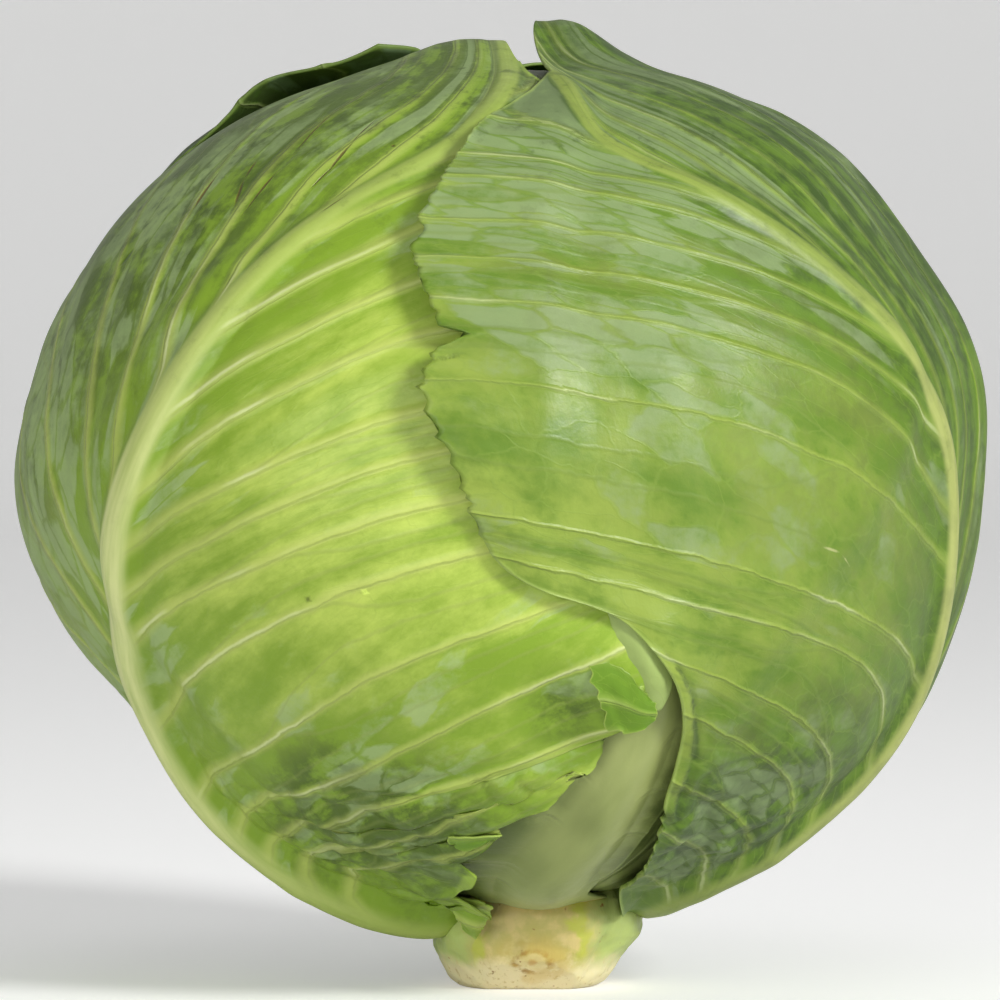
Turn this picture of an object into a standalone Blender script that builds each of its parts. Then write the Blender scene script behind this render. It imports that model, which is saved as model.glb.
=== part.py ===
# A trimmed head of white cabbage, standing upright on its cut stump.
# Metres, +Z up, origin at the middle of the stump's cut face, the front towards -Y.
# Seven solids: the stump, the dense inner head and five wrapper leaves that lie over each other.
# A leaf is three curves on the head (left margin, midrib, right margin), given as directions
# from the head's middle, and a blade of great-circle arcs between them. Its height over the
# head is what lies under it, a gap, its own thickness, its midrib and its lifted places.

import bpy
import numpy as np

MM = 0.001

# Driving dimensions
HEAD_CENTRE = np.array([-5.2, 0.0, 92.2]) * MM
LEAF_GAP = 0.8 * MM
BLADE = 1.15 * MM
EDGE_BLADE = 0.8 * MM
SPREAD = 10.0 * MM          # how far an upper leaf takes to settle beside a lower one
MEAN_RADIUS = 84.0 * MM     # turns angles on the head into lengths
HALF_BLADE = 60.0 * MM      # usual length from midrib to margin
EDGE_REACH = 8.0 * MM       # a blade thins over this much of its margin
COVER_WIDEN = 1.7           # a leaf passes over a midrib in a wider curve than the midrib's own
MARGIN_EASE = 0.08          # share of a leaf's length over which a margin lifts
COLUMN_SPREAD = 1.35        # above 1, a blade's columns stand closer near its midrib
OUTLINE_STEPS = 41
TIP_STEPS = 13
SHARP_ANGLE = 50.0          # in degrees

# Radius of the inner head in mm every 15 degrees, from the stump to the apex
PROFILE_LEFT = [72.0, 76.5, 77.7, 77.0, 77.3, 83.6, 88.0, 87.2, 85.5, 83.8, 81.3, 78.6, 77.8]
PROFILE_RIGHT = [72.0, 77.0, 79.3, 82.0, 84.0, 84.4, 85.6, 88.0, 86.3, 86.6, 83.2, 79.8, 77.8]
PROFILE_STEP = 15.0
FRONT_SHARE = 0.985         # front and back are a little flatter than the sides
INNER_RELIEF = 0.9 * MM     # depth of the folds pressed into the inner head
INNER_FOLDS = 5
INNER_TWIST = 3             # turn of the folds for each degree of elevation
INNER_GRID = (26, 40)       # rings and sides

# Stump rings: height, radius and shift to the right, in mm
STUMP_RINGS = [
    (0.0, 7.0, 0.0),
    (0.0, 13.0, 0.0),
    (0.9, 14.4, 0.2),
    (2.6, 15.8, 0.5),
    (4.8, 17.3, 0.6),
    (7.3, 18.5, 0.8),
    (10.0, 19.2, 1.6),
    (13.0, 19.2, 2.2),
    (15.2, 18.3, 2.2),
    (16.5, 15.6, 2.0),
    (17.1, 10.5, 1.0),
]
STUMP_TOP = 17.3 * MM
STUMP_SIDES = 40
KNIFE_START = 10.6 * MM     # the second knife cut leaves the flat here, towards the front
KNIFE_SLOPE = 0.8
KNIFE_TOP = 12.0 * MM
BASE_RING = 20.2 * MM       # leaf bases stand round the stump at this radius
BASE_HEIGHT = 15.0 * MM
BASE_SHIFT = 2.2 * MM

# Leaves from the innermost to the outermost. Curve points are (place along the leaf, azimuth,
# elevation), azimuth 0 at the front and rising to the right; each curve starts at the azimuth
# round the stump given in "base" as left, midrib and right.
# "rib" is half width and height in mm at the base, at a fifth and at the tip.
# "round" draws the corners of the tip back, "torn" is (from, to, teeth, depth in mm) of bites.
# "lifts" are (azimuth, elevation, reach in degrees, height in mm).
# "margins" are (side, from, to, height in mm, reach in mm) along a margin that stands off.
LEAVES = {
    "leaf_front_inner": {
        "base": (-20, 12, 40),
        "left": [(0.15, -16, -62), (0.3, -30, -48), (0.5, -45, -25), (0.75, -50, 5), (1, -28, 36)],
        "midrib": [(0.1, 13, -62), (0.25, 16, -48), (0.4, 19.5, -33), (0.55, 21.5, -18),
                   (0.75, 22, 2), (1, 14, 36)],
        "right": [(0.08, 28, -65), (0.16, 29.3, -57), (0.24, 28.6, -49), (0.32, 27.6, -42),
                  (0.4, 27, -35), (0.46, 27, -29), (0.55, 34, -17), (0.75, 54, 8), (1, 48, 36)],
        "rib": ((13.0, 5.0), (9.5, 3.4), (4.0, 0.3)),
        "round": 0.08,
        "grid": (20, 18),
    },
    "leaf_back_right": {
        "base": (118, 146, 174),
        "left": [(0.2, 96, -50), (0.45, 84, -12), (0.75, 88, 30), (1, 112, 62)],
        "midrib": [(0.2, 148, -50), (0.45, 146, -12), (0.75, 148, 32), (1, 158, 70)],
        "right": [(0.2, 196, -50), (0.45, 212, -12), (0.75, 210, 32), (1, 205, 64)],
        "rib": ((12.0, 6.0), (7.5, 1.8), (5.0, 0.2)),
        "round": 0.08,
        "grid": (20, 18),
    },
    "leaf_left": {
        "base": (-100, -62, -26),
        "left": [(0.1, -112, -63), (0.2, -128, -46), (0.3, -134, -30), (0.45, -136, -6),
                 (0.6, -136, 18), (0.75, -133, 42), (0.9, -126, 66), (1, -104, 81)],
        "midrib": [(0.1, -61, -60), (0.2, -70, -46), (0.3, -67, -31), (0.4, -56, -16),
                   (0.5, -50, -3), (0.6, -43, 11), (0.7, -35, 23), (0.78, -24, 35),
                   (0.86, -7, 47.5), (0.93, 2, 62), (1, 6, 84)],
        "right": [(0.05, -12, -64), (0.09, -7, -55), (0.14, 2, -47), (0.19, 10.5, -38),
                  (0.22, 15, -31), (0.25, 19.5, -26), (0.28, 21.8, -20.5), (0.31, 19, -15.8),
                  (0.34, 12.5, -12.4), (0.38, 5, -10.9), (0.42, 2.5, -7), (0.5, 4, 4),
                  (0.6, 4, 17), (0.72, 4, 31), (0.84, 8, 45), (0.93, 14, 58), (1, 9, 69)],
        "rib": ((12.0, 7.0), (8.5, 4.8), (3.5, 0.3)),
        "lifts": [(14, -20, 6.5, 2.6), (-30, 84, 12, 4.2)],
        "torn": (0.04, 0.25, 8, 1.6),
        "grid": (32, 22),
    },
    "leaf_right": {
        "base": (47, 76, 108),
        "left": [(0.05, 42, -64), (0.1, 32, -55), (0.15, 30.3, -47), (0.2, 29.2, -40),
                 (0.25, 28, -33), (0.29, 27, -27), (0.32, 23.6, -20.6), (0.345, 21.2, -16),
                 (0.37, 16.6, -12.6), (0.4, 11, -10.6), (0.43, 5, -9.2), (0.46, 0.5, -6.8),
                 (0.49, -3, -2.5), (0.53, -5.5, 4), (0.58, -9.3, 12.5), (0.62, -7.3, 17.5),
                 (0.67, -9.5, 24), (0.72, -11.5, 29), (0.79, -8.5, 37), (0.86, -6.5, 42),
                 (0.93, -2, 49.5), (1, 7, 58)],
        "midrib": [(0.1, 67, -61), (0.2, 73, -48), (0.3, 77, -34), (0.4, 76, -21),
                   (0.5, 71, -8), (0.6, 66, 5), (0.7, 56, 17), (0.78, 45, 28),
                   (0.86, 31, 38), (0.93, 17, 48), (1, 15, 65)],
        "right": [(0.1, 98, -63), (0.2, 118, -46), (0.3, 128, -29), (0.45, 135, -4),
                  (0.6, 139, 22), (0.75, 146, 46), (0.9, 160, 66), (1, 176, 80)],
        "rib": ((12.0, 5.0), (8.0, 3.6), (3.0, 0.3)),
        "lifts": [(80, 83, 8.5, 7.6), (60, -52, 9, 0.8)],
        "margins": [("left", 0.5, 0.97, 1.8, 8.0), ("left", 0.05, 0.22, 1.4, 8.0)],
        "grid": (34, 22),
    },
    "leaf_back_left": {
        "base": (-172, -142, -108),
        "left": [(0.1, -178, -65), (0.2, -196, -49), (0.4, -217, -20), (0.6, -224, 8),
                 (0.8, -222, 38), (1, -214, 66)],
        "midrib": [(0.2, -154, -50), (0.4, -160, -22), (0.6, -158, 8), (0.8, -152, 38),
                   (1, -146, 76)],
        "right": [(0.1, -114, -65), (0.2, -116, -50), (0.4, -110, -25), (0.55, -107, 0),
                  (0.7, -103, 24), (0.82, -99, 45), (0.92, -96, 62), (1, -90, 79)],
        "rib": ((12.0, 6.5), (8.0, 4.0), (3.0, 0.3)),
        "margins": [("right", 0.9, 1.3, 2.6, 12.0), ("left", 0.3, 0.9, 1.5, 8.0)],
        "waves": (0.7, 9.0, 1.5),
        "round": 0.02,
        "grid": (26, 20),
    },
}

COLOURS = {
    "stump": (0.62, 0.58, 0.27),
    "inner_head": (0.33, 0.43, 0.12),
    "leaf_front_inner": (0.36, 0.44, 0.16),
    "leaf_back_right": (0.20, 0.33, 0.07),
    "leaf_left": (0.31, 0.45, 0.06),
    "leaf_right": (0.22, 0.37, 0.08),
    "leaf_back_left": (0.09, 0.18, 0.04),
}


def unit(vectors):
    return vectors / np.linalg.norm(vectors, axis=-1, keepdims=True)


def direction(azimuth, elevation):
    """Unit vector at an azimuth and an elevation in degrees, azimuth 0 towards -Y."""
    azimuth = np.radians(azimuth)
    elevation = np.radians(elevation)
    level = np.cos(elevation)
    parts = [np.sin(azimuth) * level, -np.cos(azimuth) * level, np.sin(elevation)]
    return np.stack(parts, axis=-1)


def smooth(places, values, at):
    """Smooth curve through values given at rising places (cubic pieces, slopes from neighbours)."""
    places = np.asarray(places, float)
    values = np.asarray(values, float)
    slopes = np.gradient(values, places, axis=0)
    low = np.clip(np.searchsorted(places, at, side="right") - 1, 0, len(places) - 2)
    span = places[low + 1] - places[low]
    t = np.clip((at - places[low]) / span, 0.0, 1.0)
    if values.ndim == 2:
        t = t[..., None]
        span = span[..., None]
    blend = 3 * t ** 2 - 2 * t ** 3
    leaving = (t ** 3 - 2 * t ** 2 + t) * span * slopes[low]
    arriving = (t ** 3 - t ** 2) * span * slopes[low + 1]
    return (1 - blend) * values[low] + blend * values[low + 1] + leaving + arriving


def ramp(x):
    """Smooth step from 0 to 1 as x goes from 0 to 1."""
    x = np.clip(x, 0.0, 1.0)
    return x * x * (3 - 2 * x)


def head_radius(way):
    """Radius of the inner head along unit vectors."""
    elevation = np.degrees(np.arcsin(np.clip(way[..., 2], -1, 1)))
    places = np.arange(len(PROFILE_LEFT)) * PROFILE_STEP - 90
    left = smooth(places, PROFILE_LEFT, elevation)
    right = smooth(places, PROFILE_RIGHT, elevation)
    level = np.maximum(np.hypot(way[..., 0], way[..., 1]), 1e-6)
    side = way[..., 0] / level
    flat = 1 - (1 - FRONT_SHARE) * (way[..., 1]) ** 2
    return ((1 - side) * left + (1 + side) * right) / 2 * flat * MM


def base_direction(azimuth):
    """Direction from the head's middle to a leaf base that stands round the stump."""
    turn = np.radians(azimuth)
    place = np.array([BASE_SHIFT + BASE_RING * np.sin(turn), -BASE_RING * np.cos(turn), BASE_HEIGHT])
    return unit(place - HEAD_CENTRE)


def leaf_curve(leaf, side, at):
    """Unit vectors along a leaf's left margin, midrib or right margin."""
    start = base_direction(leaf["base"][("left", "midrib", "right").index(side)])
    knots = [(0.0, start)] + [(p, direction(az, el)) for p, az, el in leaf[side]]
    places = [p for p, way in knots]
    ways = np.array([way for p, way in knots])
    return unit(smooth(places, ways, at))


def arc(start, end, share):
    """Points on great circles from start to end."""
    angle = np.arccos(np.clip(np.sum(start * end, axis=-1, keepdims=True), -1, 1))
    share = share[..., None]
    return (np.sin((1 - share) * angle) * start + np.sin(share * angle) * end) / np.sin(angle)


def torn_margin(leaf, along):
    """How far a torn right margin is bitten back, as a share of the half blade."""
    if "torn" not in leaf:
        return np.zeros_like(along)
    start, end, teeth, depth = leaf["torn"]
    ease = (end - start) / teeth
    inside = ramp((along - start) / ease) * ramp((end - along) / ease)
    bite = np.abs(((along - start) / (end - start) * teeth) % 1 - 0.5) * 2
    return inside * bite * depth * MM / HALF_BLADE


def blade_directions(leaf, along, across):
    """Directions of a blade: along from base to tip, across from -1 (left) to 1 (right)."""
    along = along * (1 - leaf.get("round", 0.0) * np.abs(across) ** 3)
    rib = leaf_curve(leaf, "midrib", along)
    left = arc(rib, leaf_curve(leaf, "left", along), np.clip(-across, 0, 1))
    reach = np.clip(across, 0, 1) * (1 - torn_margin(leaf, along))
    right = arc(rib, leaf_curve(leaf, "right", along), reach)
    return np.where((across < 0)[..., None], left, right)


def chart(centre, way):
    """Flat map of the head round a centre: distances from the centre are true lengths."""
    east = unit(np.cross([0.0, 0.0, 1.0], centre))
    north = np.cross(centre, east)
    angle = np.arccos(np.clip(way @ centre, -1, 1))
    flat = np.stack([way @ east, way @ north], axis=-1)
    size = np.maximum(np.linalg.norm(flat, axis=-1), 1e-9)
    return flat / size[..., None] * (angle * MEAN_RADIUS)[..., None]


def nearest_on_line(points, line):
    """Distance from points to a broken line, and the place along it from 0 to 1."""
    first = line[:-1]
    step = line[1:] - first
    share = np.sum((points[:, None] - first) * step, axis=-1) / np.sum(step * step, axis=-1)
    share = np.clip(share, 0, 1)
    away = np.linalg.norm(points[:, None] - first - share[..., None] * step, axis=-1)
    best = np.argmin(away, axis=1)
    rows = np.arange(len(points))
    return away[rows, best], (best + share[rows, best]) / len(step)


def inside_loop(points, loop):
    """Which points lie inside a closed loop (crossings of a ray to the right)."""
    x, y = points[:, None, 0], points[:, None, 1]
    ax, ay = loop[:, 0], loop[:, 1]
    bx, by = np.roll(ax, -1), np.roll(ay, -1)
    spans = (ay > y) != (by > y)
    rise = np.where(np.abs(by - ay) < 1e-12, 1e-12, by - ay)
    crossing = ax + (y - ay) / rise * (bx - ax)
    return np.sum(spans & (x < crossing), axis=1) % 2 == 1


def leaf_facts(leaf, way):
    """Signed distance inside the outline, distance to the midrib and place along the midrib."""
    shape = way.shape[:-1]
    flat_way = way.reshape(-1, 3)
    centre = leaf_curve(leaf, "midrib", np.array([0.5]))[0]
    along = np.linspace(0, 1, OUTLINE_STEPS)
    rib = chart(centre, leaf_curve(leaf, "midrib", along))
    across = np.linspace(-1, 1, TIP_STEPS)
    tip = blade_directions(leaf, np.ones_like(across), across)
    left = blade_directions(leaf, along, np.full_like(along, -1))
    right = blade_directions(leaf, along, np.full_like(along, 1))
    loop = chart(centre, np.concatenate([left, tip[1:-1], right[::-1]]))
    points = chart(centre, flat_way)
    edge, where = nearest_on_line(points, np.concatenate([loop, loop[:1]]))
    edge = np.where(inside_loop(points, loop), edge, -edge)
    from_rib, along_rib = nearest_on_line(points, rib)
    return edge.reshape(shape), from_rib.reshape(shape), along_rib.reshape(shape)


def rib_height(leaf, from_rib, along_rib, widen=1.0):
    """Midrib over the blade: a rounded bar that narrows and sinks from base to tip."""
    width = smooth([0, 0.2, 1], [w for w, h in leaf["rib"]], along_rib) * MM * widen
    height = smooth([0, 0.2, 1], [h for w, h in leaf["rib"]], along_rib) * MM
    return height * np.clip(1 - (from_rib / width) ** 2, 0, 1) ** 1.5


def lift_height(leaf, way):
    """Places of a leaf that stand off the head, as smooth bumps round a direction."""
    total = np.zeros(way.shape[:-1])
    for azimuth, elevation, reach, height in leaf.get("lifts", []):
        cosine = np.clip(way @ direction(azimuth, elevation), -1, 1)
        total += height * MM * np.exp(-(np.degrees(np.arccos(cosine)) / reach) ** 2)
    return total


def drape(way, lower):
    """Height of all that lies under a leaf: the inner head and the leaves already laid on it."""
    total = head_radius(way)
    for leaf in lower:
        edge, from_rib, along_rib = leaf_facts(leaf, way)
        cover = ramp(1 + edge / SPREAD)
        total = total + cover * (LEAF_GAP + BLADE + lift_height(leaf, way))
        total = total + cover * rib_height(leaf, from_rib, along_rib, COVER_WIDEN)
    return total


def half_widths(leaf, along, across):
    """Length of blade from the midrib to the margin on the same side."""
    rib = blade_directions(leaf, along, across * 0)
    margin = blade_directions(leaf, along, np.where(across < 0, -1.0, 1.0))
    return np.arccos(np.clip(np.sum(rib * margin, axis=-1), -1, 1)) * MEAN_RADIUS


def margin_lift(leaf, along, across):
    """Margins that stand off: an ease towards the margin, with waves where the leaf has them."""
    total = np.zeros_like(along)
    half_length = half_widths(leaf, along, across)
    for side, start, end, height, reach in leaf.get("margins", []):
        sign = -1 if side == "left" else 1
        there = ramp((along - start) / MARGIN_EASE) * ramp((end - along) / MARGIN_EASE)
        inward = (1 - np.clip(sign * across, 0, 1)) * half_length
        total += there * height * MM * np.exp(-inward / (reach * MM))
        if "waves" in leaf and side == "right":
            size, count, sharp = leaf["waves"]
            wave = 0.5 + 0.5 * np.sin(along * count * 2 * np.pi)
            total += there * size * wave * height * MM * np.exp(-sharp * inward / (reach * MM))
    return total


def make_object(name, points, faces):
    mesh = bpy.data.meshes.new(name)
    mesh.from_pydata(points.tolist(), [], faces.tolist())
    mesh.update()
    mesh.shade_smooth()
    mesh.set_sharp_from_angle(angle=np.radians(SHARP_ANGLE))
    material = bpy.data.materials.new(name)
    material.use_nodes = True
    shader = material.node_tree.nodes["Principled BSDF"]
    shader.inputs["Base Color"].default_value = (*COLOURS[name], 1.0)
    shader.inputs["Roughness"].default_value = 0.45
    shader.inputs["Metallic"].default_value = 0.0
    mesh.materials.append(material)
    thing = bpy.data.objects.new(name, mesh)
    bpy.context.scene.collection.objects.link(thing)
    return thing


def split(a, b, c, d):
    """Two triangles for each four-sided cell."""
    return np.concatenate([np.stack([a, b, c], axis=-1), np.stack([a, c, d], axis=-1)])


def make_leaf(name, leaf, lower):
    rows, columns = leaf["grid"]
    steps = np.linspace(-1, 1, columns + 1)
    steps = np.sign(steps) * np.abs(steps) ** COLUMN_SPREAD
    along, across = np.meshgrid(np.linspace(0, 1, rows + 1), steps, indexing="ij")
    way = blade_directions(leaf, along, across)
    edge, from_rib, along_rib = leaf_facts(leaf, way)
    inner = drape(way, lower) + LEAF_GAP + lift_height(leaf, way)
    inner += margin_lift(leaf, along, across)
    thick = EDGE_BLADE + (BLADE - EDGE_BLADE) * ramp(edge / EDGE_REACH)
    outer = inner + thick + rib_height(leaf, from_rib, along_rib)
    skins = [HEAD_CENTRE + way * inner[..., None], HEAD_CENTRE + way * outer[..., None]]
    points = np.concatenate([skin.reshape(-1, 3) for skin in skins])
    count = (rows + 1) * (columns + 1)
    grid = np.arange(count).reshape(rows + 1, columns + 1)
    a, b = grid[:-1, :-1].ravel(), grid[:-1, 1:].ravel()
    c, d = grid[1:, 1:].ravel(), grid[1:, :-1].ravel()
    outside = split(a, b, c, d) + count
    inside = split(a, b, c, d)[:, ::-1]
    ring = np.concatenate([grid[0, :-1], grid[:-1, -1], grid[-1, :0:-1], grid[:0:-1, 0]])
    after = np.roll(ring, -1)
    rim = split(ring, after, after + count, ring + count)
    make_object(name, points, np.concatenate([outside, inside, rim]))


def make_ball(name, rings, sides, place):
    """Closed round body: place(elevation, azimuth) gives the points of its rings."""
    elevation = np.linspace(-90, 90, rings + 1)[1:-1]
    azimuth = np.arange(sides) * 360.0 / sides
    high, round_about = np.meshgrid(elevation, azimuth, indexing="ij")
    body = place(high, round_about).reshape(-1, 3)
    ends = place(np.array([-90.0, 90.0]), np.array([0.0, 0.0]))
    join_rings(name, body, ends, len(elevation), sides)


def join_rings(name, body, ends, rings, sides):
    """Closes stacked rings of points with a fan at each end."""
    grid = np.arange(rings * sides).reshape(rings, sides)
    turned = np.roll(grid, -1, axis=1)
    faces = split(grid[:-1].ravel(), turned[:-1].ravel(), turned[1:].ravel(), grid[1:].ravel())
    low, high = rings * sides, rings * sides + 1
    bottom = np.stack([turned[0], grid[0], np.full(sides, low)], axis=-1)
    top = np.stack([grid[-1], turned[-1], np.full(sides, high)], axis=-1)
    make_object(name, np.concatenate([body, ends]), np.concatenate([faces, bottom, top]))


def make_inner_head():
    def place(elevation, azimuth):
        way = direction(azimuth, elevation)
        turn = np.radians(azimuth * INNER_FOLDS + elevation * INNER_TWIST)
        folds = (0.5 - 0.5 * np.cos(turn)) * np.cos(np.radians(elevation)) ** 0.5
        radius = head_radius(way) - INNER_RELIEF * folds
        return HEAD_CENTRE + way * radius[..., None]

    make_ball("inner_head", *INNER_GRID, place)


def make_stump():
    rings = np.array(STUMP_RINGS) * MM
    turn = np.radians(np.arange(STUMP_SIDES) * 360.0 / STUMP_SIDES)
    x = rings[:, 2:] + rings[:, 1:2] * np.sin(turn)
    y = -rings[:, 1:2] * np.cos(turn)
    z = rings[:, :1] + 0 * x
    cut = (-y - KNIFE_START) * KNIFE_SLOPE
    z = np.where(z < KNIFE_TOP, np.maximum(z, cut), z)
    body = np.stack([x, y, z], axis=-1).reshape(-1, 3)
    ends = np.array([[0.0, 0.0, 0.0], [0.0, 0.0, STUMP_TOP]])
    join_rings("stump", body, ends, len(rings), STUMP_SIDES)


def main():
    for thing in list(bpy.data.objects):
        bpy.data.objects.remove(thing, do_unlink=True)
    make_stump()
    make_inner_head()
    lower = []
    for name, leaf in LEAVES.items():
        make_leaf(name, leaf, lower)
        lower.append(leaf)


main()
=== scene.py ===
# Looks of a trimmed white cabbage head: waxy wrapper leaves with veins and torn margins, on a cut stump.
# Each leaf repeats its solid's own curves on a finer grid and adds veins, puckers, folds and teeth.

import bpy
import numpy as np
from mathutils import Matrix, Vector


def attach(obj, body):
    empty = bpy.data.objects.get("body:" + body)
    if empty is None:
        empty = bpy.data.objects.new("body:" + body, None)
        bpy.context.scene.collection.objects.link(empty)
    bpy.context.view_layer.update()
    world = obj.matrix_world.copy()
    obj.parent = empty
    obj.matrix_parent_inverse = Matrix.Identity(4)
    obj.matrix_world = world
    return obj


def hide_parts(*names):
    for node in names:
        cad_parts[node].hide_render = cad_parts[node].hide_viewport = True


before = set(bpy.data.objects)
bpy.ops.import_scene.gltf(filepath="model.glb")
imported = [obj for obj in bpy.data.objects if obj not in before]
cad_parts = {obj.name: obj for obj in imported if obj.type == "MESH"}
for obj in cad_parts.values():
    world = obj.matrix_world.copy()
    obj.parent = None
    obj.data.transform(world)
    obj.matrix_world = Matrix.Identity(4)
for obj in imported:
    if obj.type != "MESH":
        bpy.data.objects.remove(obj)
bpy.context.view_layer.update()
mm = 0.001

head = {
    "centre": np.array([-5.2, 0.0, 92.2]) * mm,
    "leafGap": 0.8 * mm,
    "blade": 1.15 * mm,
    "edgeBlade": 0.55 * mm,
    "spread": 10.0 * mm,        # how far an upper leaf takes to settle beside a lower one
    "meanRadius": 84.0 * mm,
    "halfBlade": 60.0 * mm,
    "edgeReach": 7.0 * mm,
    "coverWiden": 1.7,
    "frontShare": 0.985,
    "profileStep": 15.0,        # degrees between the radii below, from the stump to the apex
    "leftProfile": [72.0, 76.5, 77.7, 77.0, 77.3, 83.6, 88.0, 87.2, 85.5, 83.8, 81.3, 78.6, 77.8],
    "rightProfile": [72.0, 77.0, 79.3, 82.0, 84.0, 84.4, 85.6, 88.0, 86.3, 86.6, 83.2, 79.8, 77.8],
    "baseRing": 20.2 * mm,      # leaf bases stand round the stump
    "baseHeight": 15.0 * mm,
    "baseShift": 2.2 * mm,
    "outlineSteps": 61,
    "tipSteps": 17,
}


def unit(vectors):
    return vectors / np.linalg.norm(vectors, axis=-1, keepdims=True)


def direction(azimuth, elevation):
    # unit vector: azimuth from the front (-Y) to the right, elevation above the level, in degrees
    azimuth = np.radians(azimuth)
    elevation = np.radians(elevation)
    level = np.cos(elevation)
    parts = [np.sin(azimuth) * level, -np.cos(azimuth) * level, np.sin(elevation)]
    return np.stack(parts, axis=-1)


def smooth(places, values, at):
    # cubic pieces through values at rising places, with slopes from the neighbours
    places = np.asarray(places, float)
    values = np.asarray(values, float)
    slopes = np.gradient(values, places, axis=0)
    low = np.clip(np.searchsorted(places, at, side="right") - 1, 0, len(places) - 2)
    span = places[low + 1] - places[low]
    t = np.clip((at - places[low]) / span, 0.0, 1.0)
    if values.ndim == 2:
        t = t[..., None]
        span = span[..., None]
    blend = 3 * t ** 2 - 2 * t ** 3
    leaving = (t ** 3 - 2 * t ** 2 + t) * span * slopes[low]
    arriving = (t ** 3 - t ** 2) * span * slopes[low + 1]
    return (1 - blend) * values[low] + blend * values[low + 1] + leaving + arriving


def ramp(x):
    # smooth step from 0 to 1
    x = np.clip(x, 0.0, 1.0)
    return x * x * (3 - 2 * x)


def bell(x):
    return np.exp(-x * x)


def softNoise(x, y, seed):
    # smooth noise from -1 to 1: a lattice of random values, blended with smooth steps
    values = np.random.default_rng(seed).uniform(-1, 1, (64, 64))
    column, row = np.floor(x).astype(int), np.floor(y).astype(int)
    s, t = ramp(x - column), ramp(y - row)
    a, b = values[row % 64, column % 64], values[row % 64, (column + 1) % 64]
    c, d = values[(row + 1) % 64, column % 64], values[(row + 1) % 64, (column + 1) % 64]
    return (a * (1 - s) + b * s) * (1 - t) + (c * (1 - s) + d * s) * t


def cells(x, y, seed):
    # how much further the second nearest of scattered points is than the nearest: 0 on the cells' walls
    jitter = np.random.default_rng(seed).uniform(0.15, 0.85, (2, 64, 64))
    column, row = np.floor(x).astype(int), np.floor(y).astype(int)
    first = np.full(x.shape, 9.0)
    second = np.full(x.shape, 9.0)
    for stepX, stepY in [(i, j) for i in (-1, 0, 1) for j in (-1, 0, 1)]:
        spot = jitter[:, (row + stepY) % 64, (column + stepX) % 64]
        away = np.hypot(column + stepX + spot[0] - x, row + stepY + spot[1] - y)
        second = np.minimum(second, np.maximum(first, away))
        first = np.minimum(first, away)
    return second - first


def headRadius(way):
    # radius of the dense inner head: the left and right profiles blended by the side looked at
    elevation = np.degrees(np.arcsin(np.clip(way[..., 2], -1, 1)))
    places = np.arange(len(head["leftProfile"])) * head["profileStep"] - 90
    left = smooth(places, head["leftProfile"], elevation)
    right = smooth(places, head["rightProfile"], elevation)
    side = way[..., 0] / np.maximum(np.hypot(way[..., 0], way[..., 1]), 1e-6)
    flat = 1 - (1 - head["frontShare"]) * way[..., 1] ** 2
    return ((1 - side) * left + (1 + side) * right) / 2 * flat * mm


def baseDirection(azimuth):
    turn = np.radians(azimuth)
    across = head["baseShift"] + head["baseRing"] * np.sin(turn)
    place = np.array([across, -head["baseRing"] * np.cos(turn), head["baseHeight"]])
    return unit(place - head["centre"])


def leafCurve(leaf, side, at):
    # directions along the left margin, the midrib or the right margin
    start = baseDirection(leaf["base"][("left", "midrib", "right").index(side)])
    knots = [(0.0, start)] + [(p, direction(az, el)) for p, az, el in leaf[side]]
    return unit(smooth([p for p, way in knots], np.array([way for p, way in knots]), at))


def arc(start, end, share):
    # points on great circles from start to end
    angle = np.arccos(np.clip(np.sum(start * end, axis=-1, keepdims=True), -1, 1))
    share = share[..., None]
    return (np.sin((1 - share) * angle) * start + np.sin(share * angle) * end) / np.sin(angle)


def marginCurve(leaf, side, along, fine):
    # the margin; where it is torn it follows its own points from corner to corner
    way = leafCurve(leaf, side, along)
    if not fine or side not in leaf.get("torn", {}):
        return way
    knots = leaf["torn"][side]
    places = [place for place, az, el in knots]
    corners = np.array([direction(az, el) for place, az, el in knots])
    torn = unit(np.stack([np.interp(along, places, corners[:, part]) for part in range(3)], axis=-1))
    there = (along >= places[0]) & (along <= places[-1])
    return np.where(there[..., None], torn, way)


sideNumber = {"left": -1, "right": 1}

marginStyle = {
    "ease": 0.08,               # soft ends of a lifted stretch, as a share of the leaf's length
    "narrowEase": 0.03,         # the same for strips and rolls
    "toothEase": 0.02,
    "biteRound": 0.8,
    "toothShift": 0.6,          # in teeth
    "toothSize": (0.6, 0.4),    # the mean size and how far it varies
    "stripHollow": 0.6,         # the groove inside a strip's fold, as a share of its height
    "grooveWidth": 0.9,         # mm
    "foldLineWidth": 0.8,       # mm
}


def stretch(along, start, end, ease):
    # share from 0 to 1 within a stretch of the margin, with soft ends
    return ramp((along - start) / ease) * ramp((end - along) / ease)


def bitten(leaf, side, along):
    # how far a margin is drawn back, in metres: single bites, and fine uneven teeth
    total = np.zeros_like(along)
    for where, place, reach, depth in leaf.get("bites", []):
        if where == side:
            near = np.clip(1 - np.abs(along - place) / reach, 0, 1)
            total += depth * mm * near ** marginStyle["biteRound"]
    mean, spread = marginStyle["toothSize"]
    for where, start, end, count, depth in leaf.get("teeth", []):
        if where == side:
            there = stretch(along, start, end, marginStyle["toothEase"])
            shift = softNoise(along * count * 0.4, along * 0 + 3.3, 5)
            saw = np.abs((along * count + marginStyle["toothShift"] * shift) % 1 - 0.5) * 2
            size = mean + spread * softNoise(along * count * 0.3, along * 0 + 9.1, 8)
            total += there * depth * mm * saw * size
    return total


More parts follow.
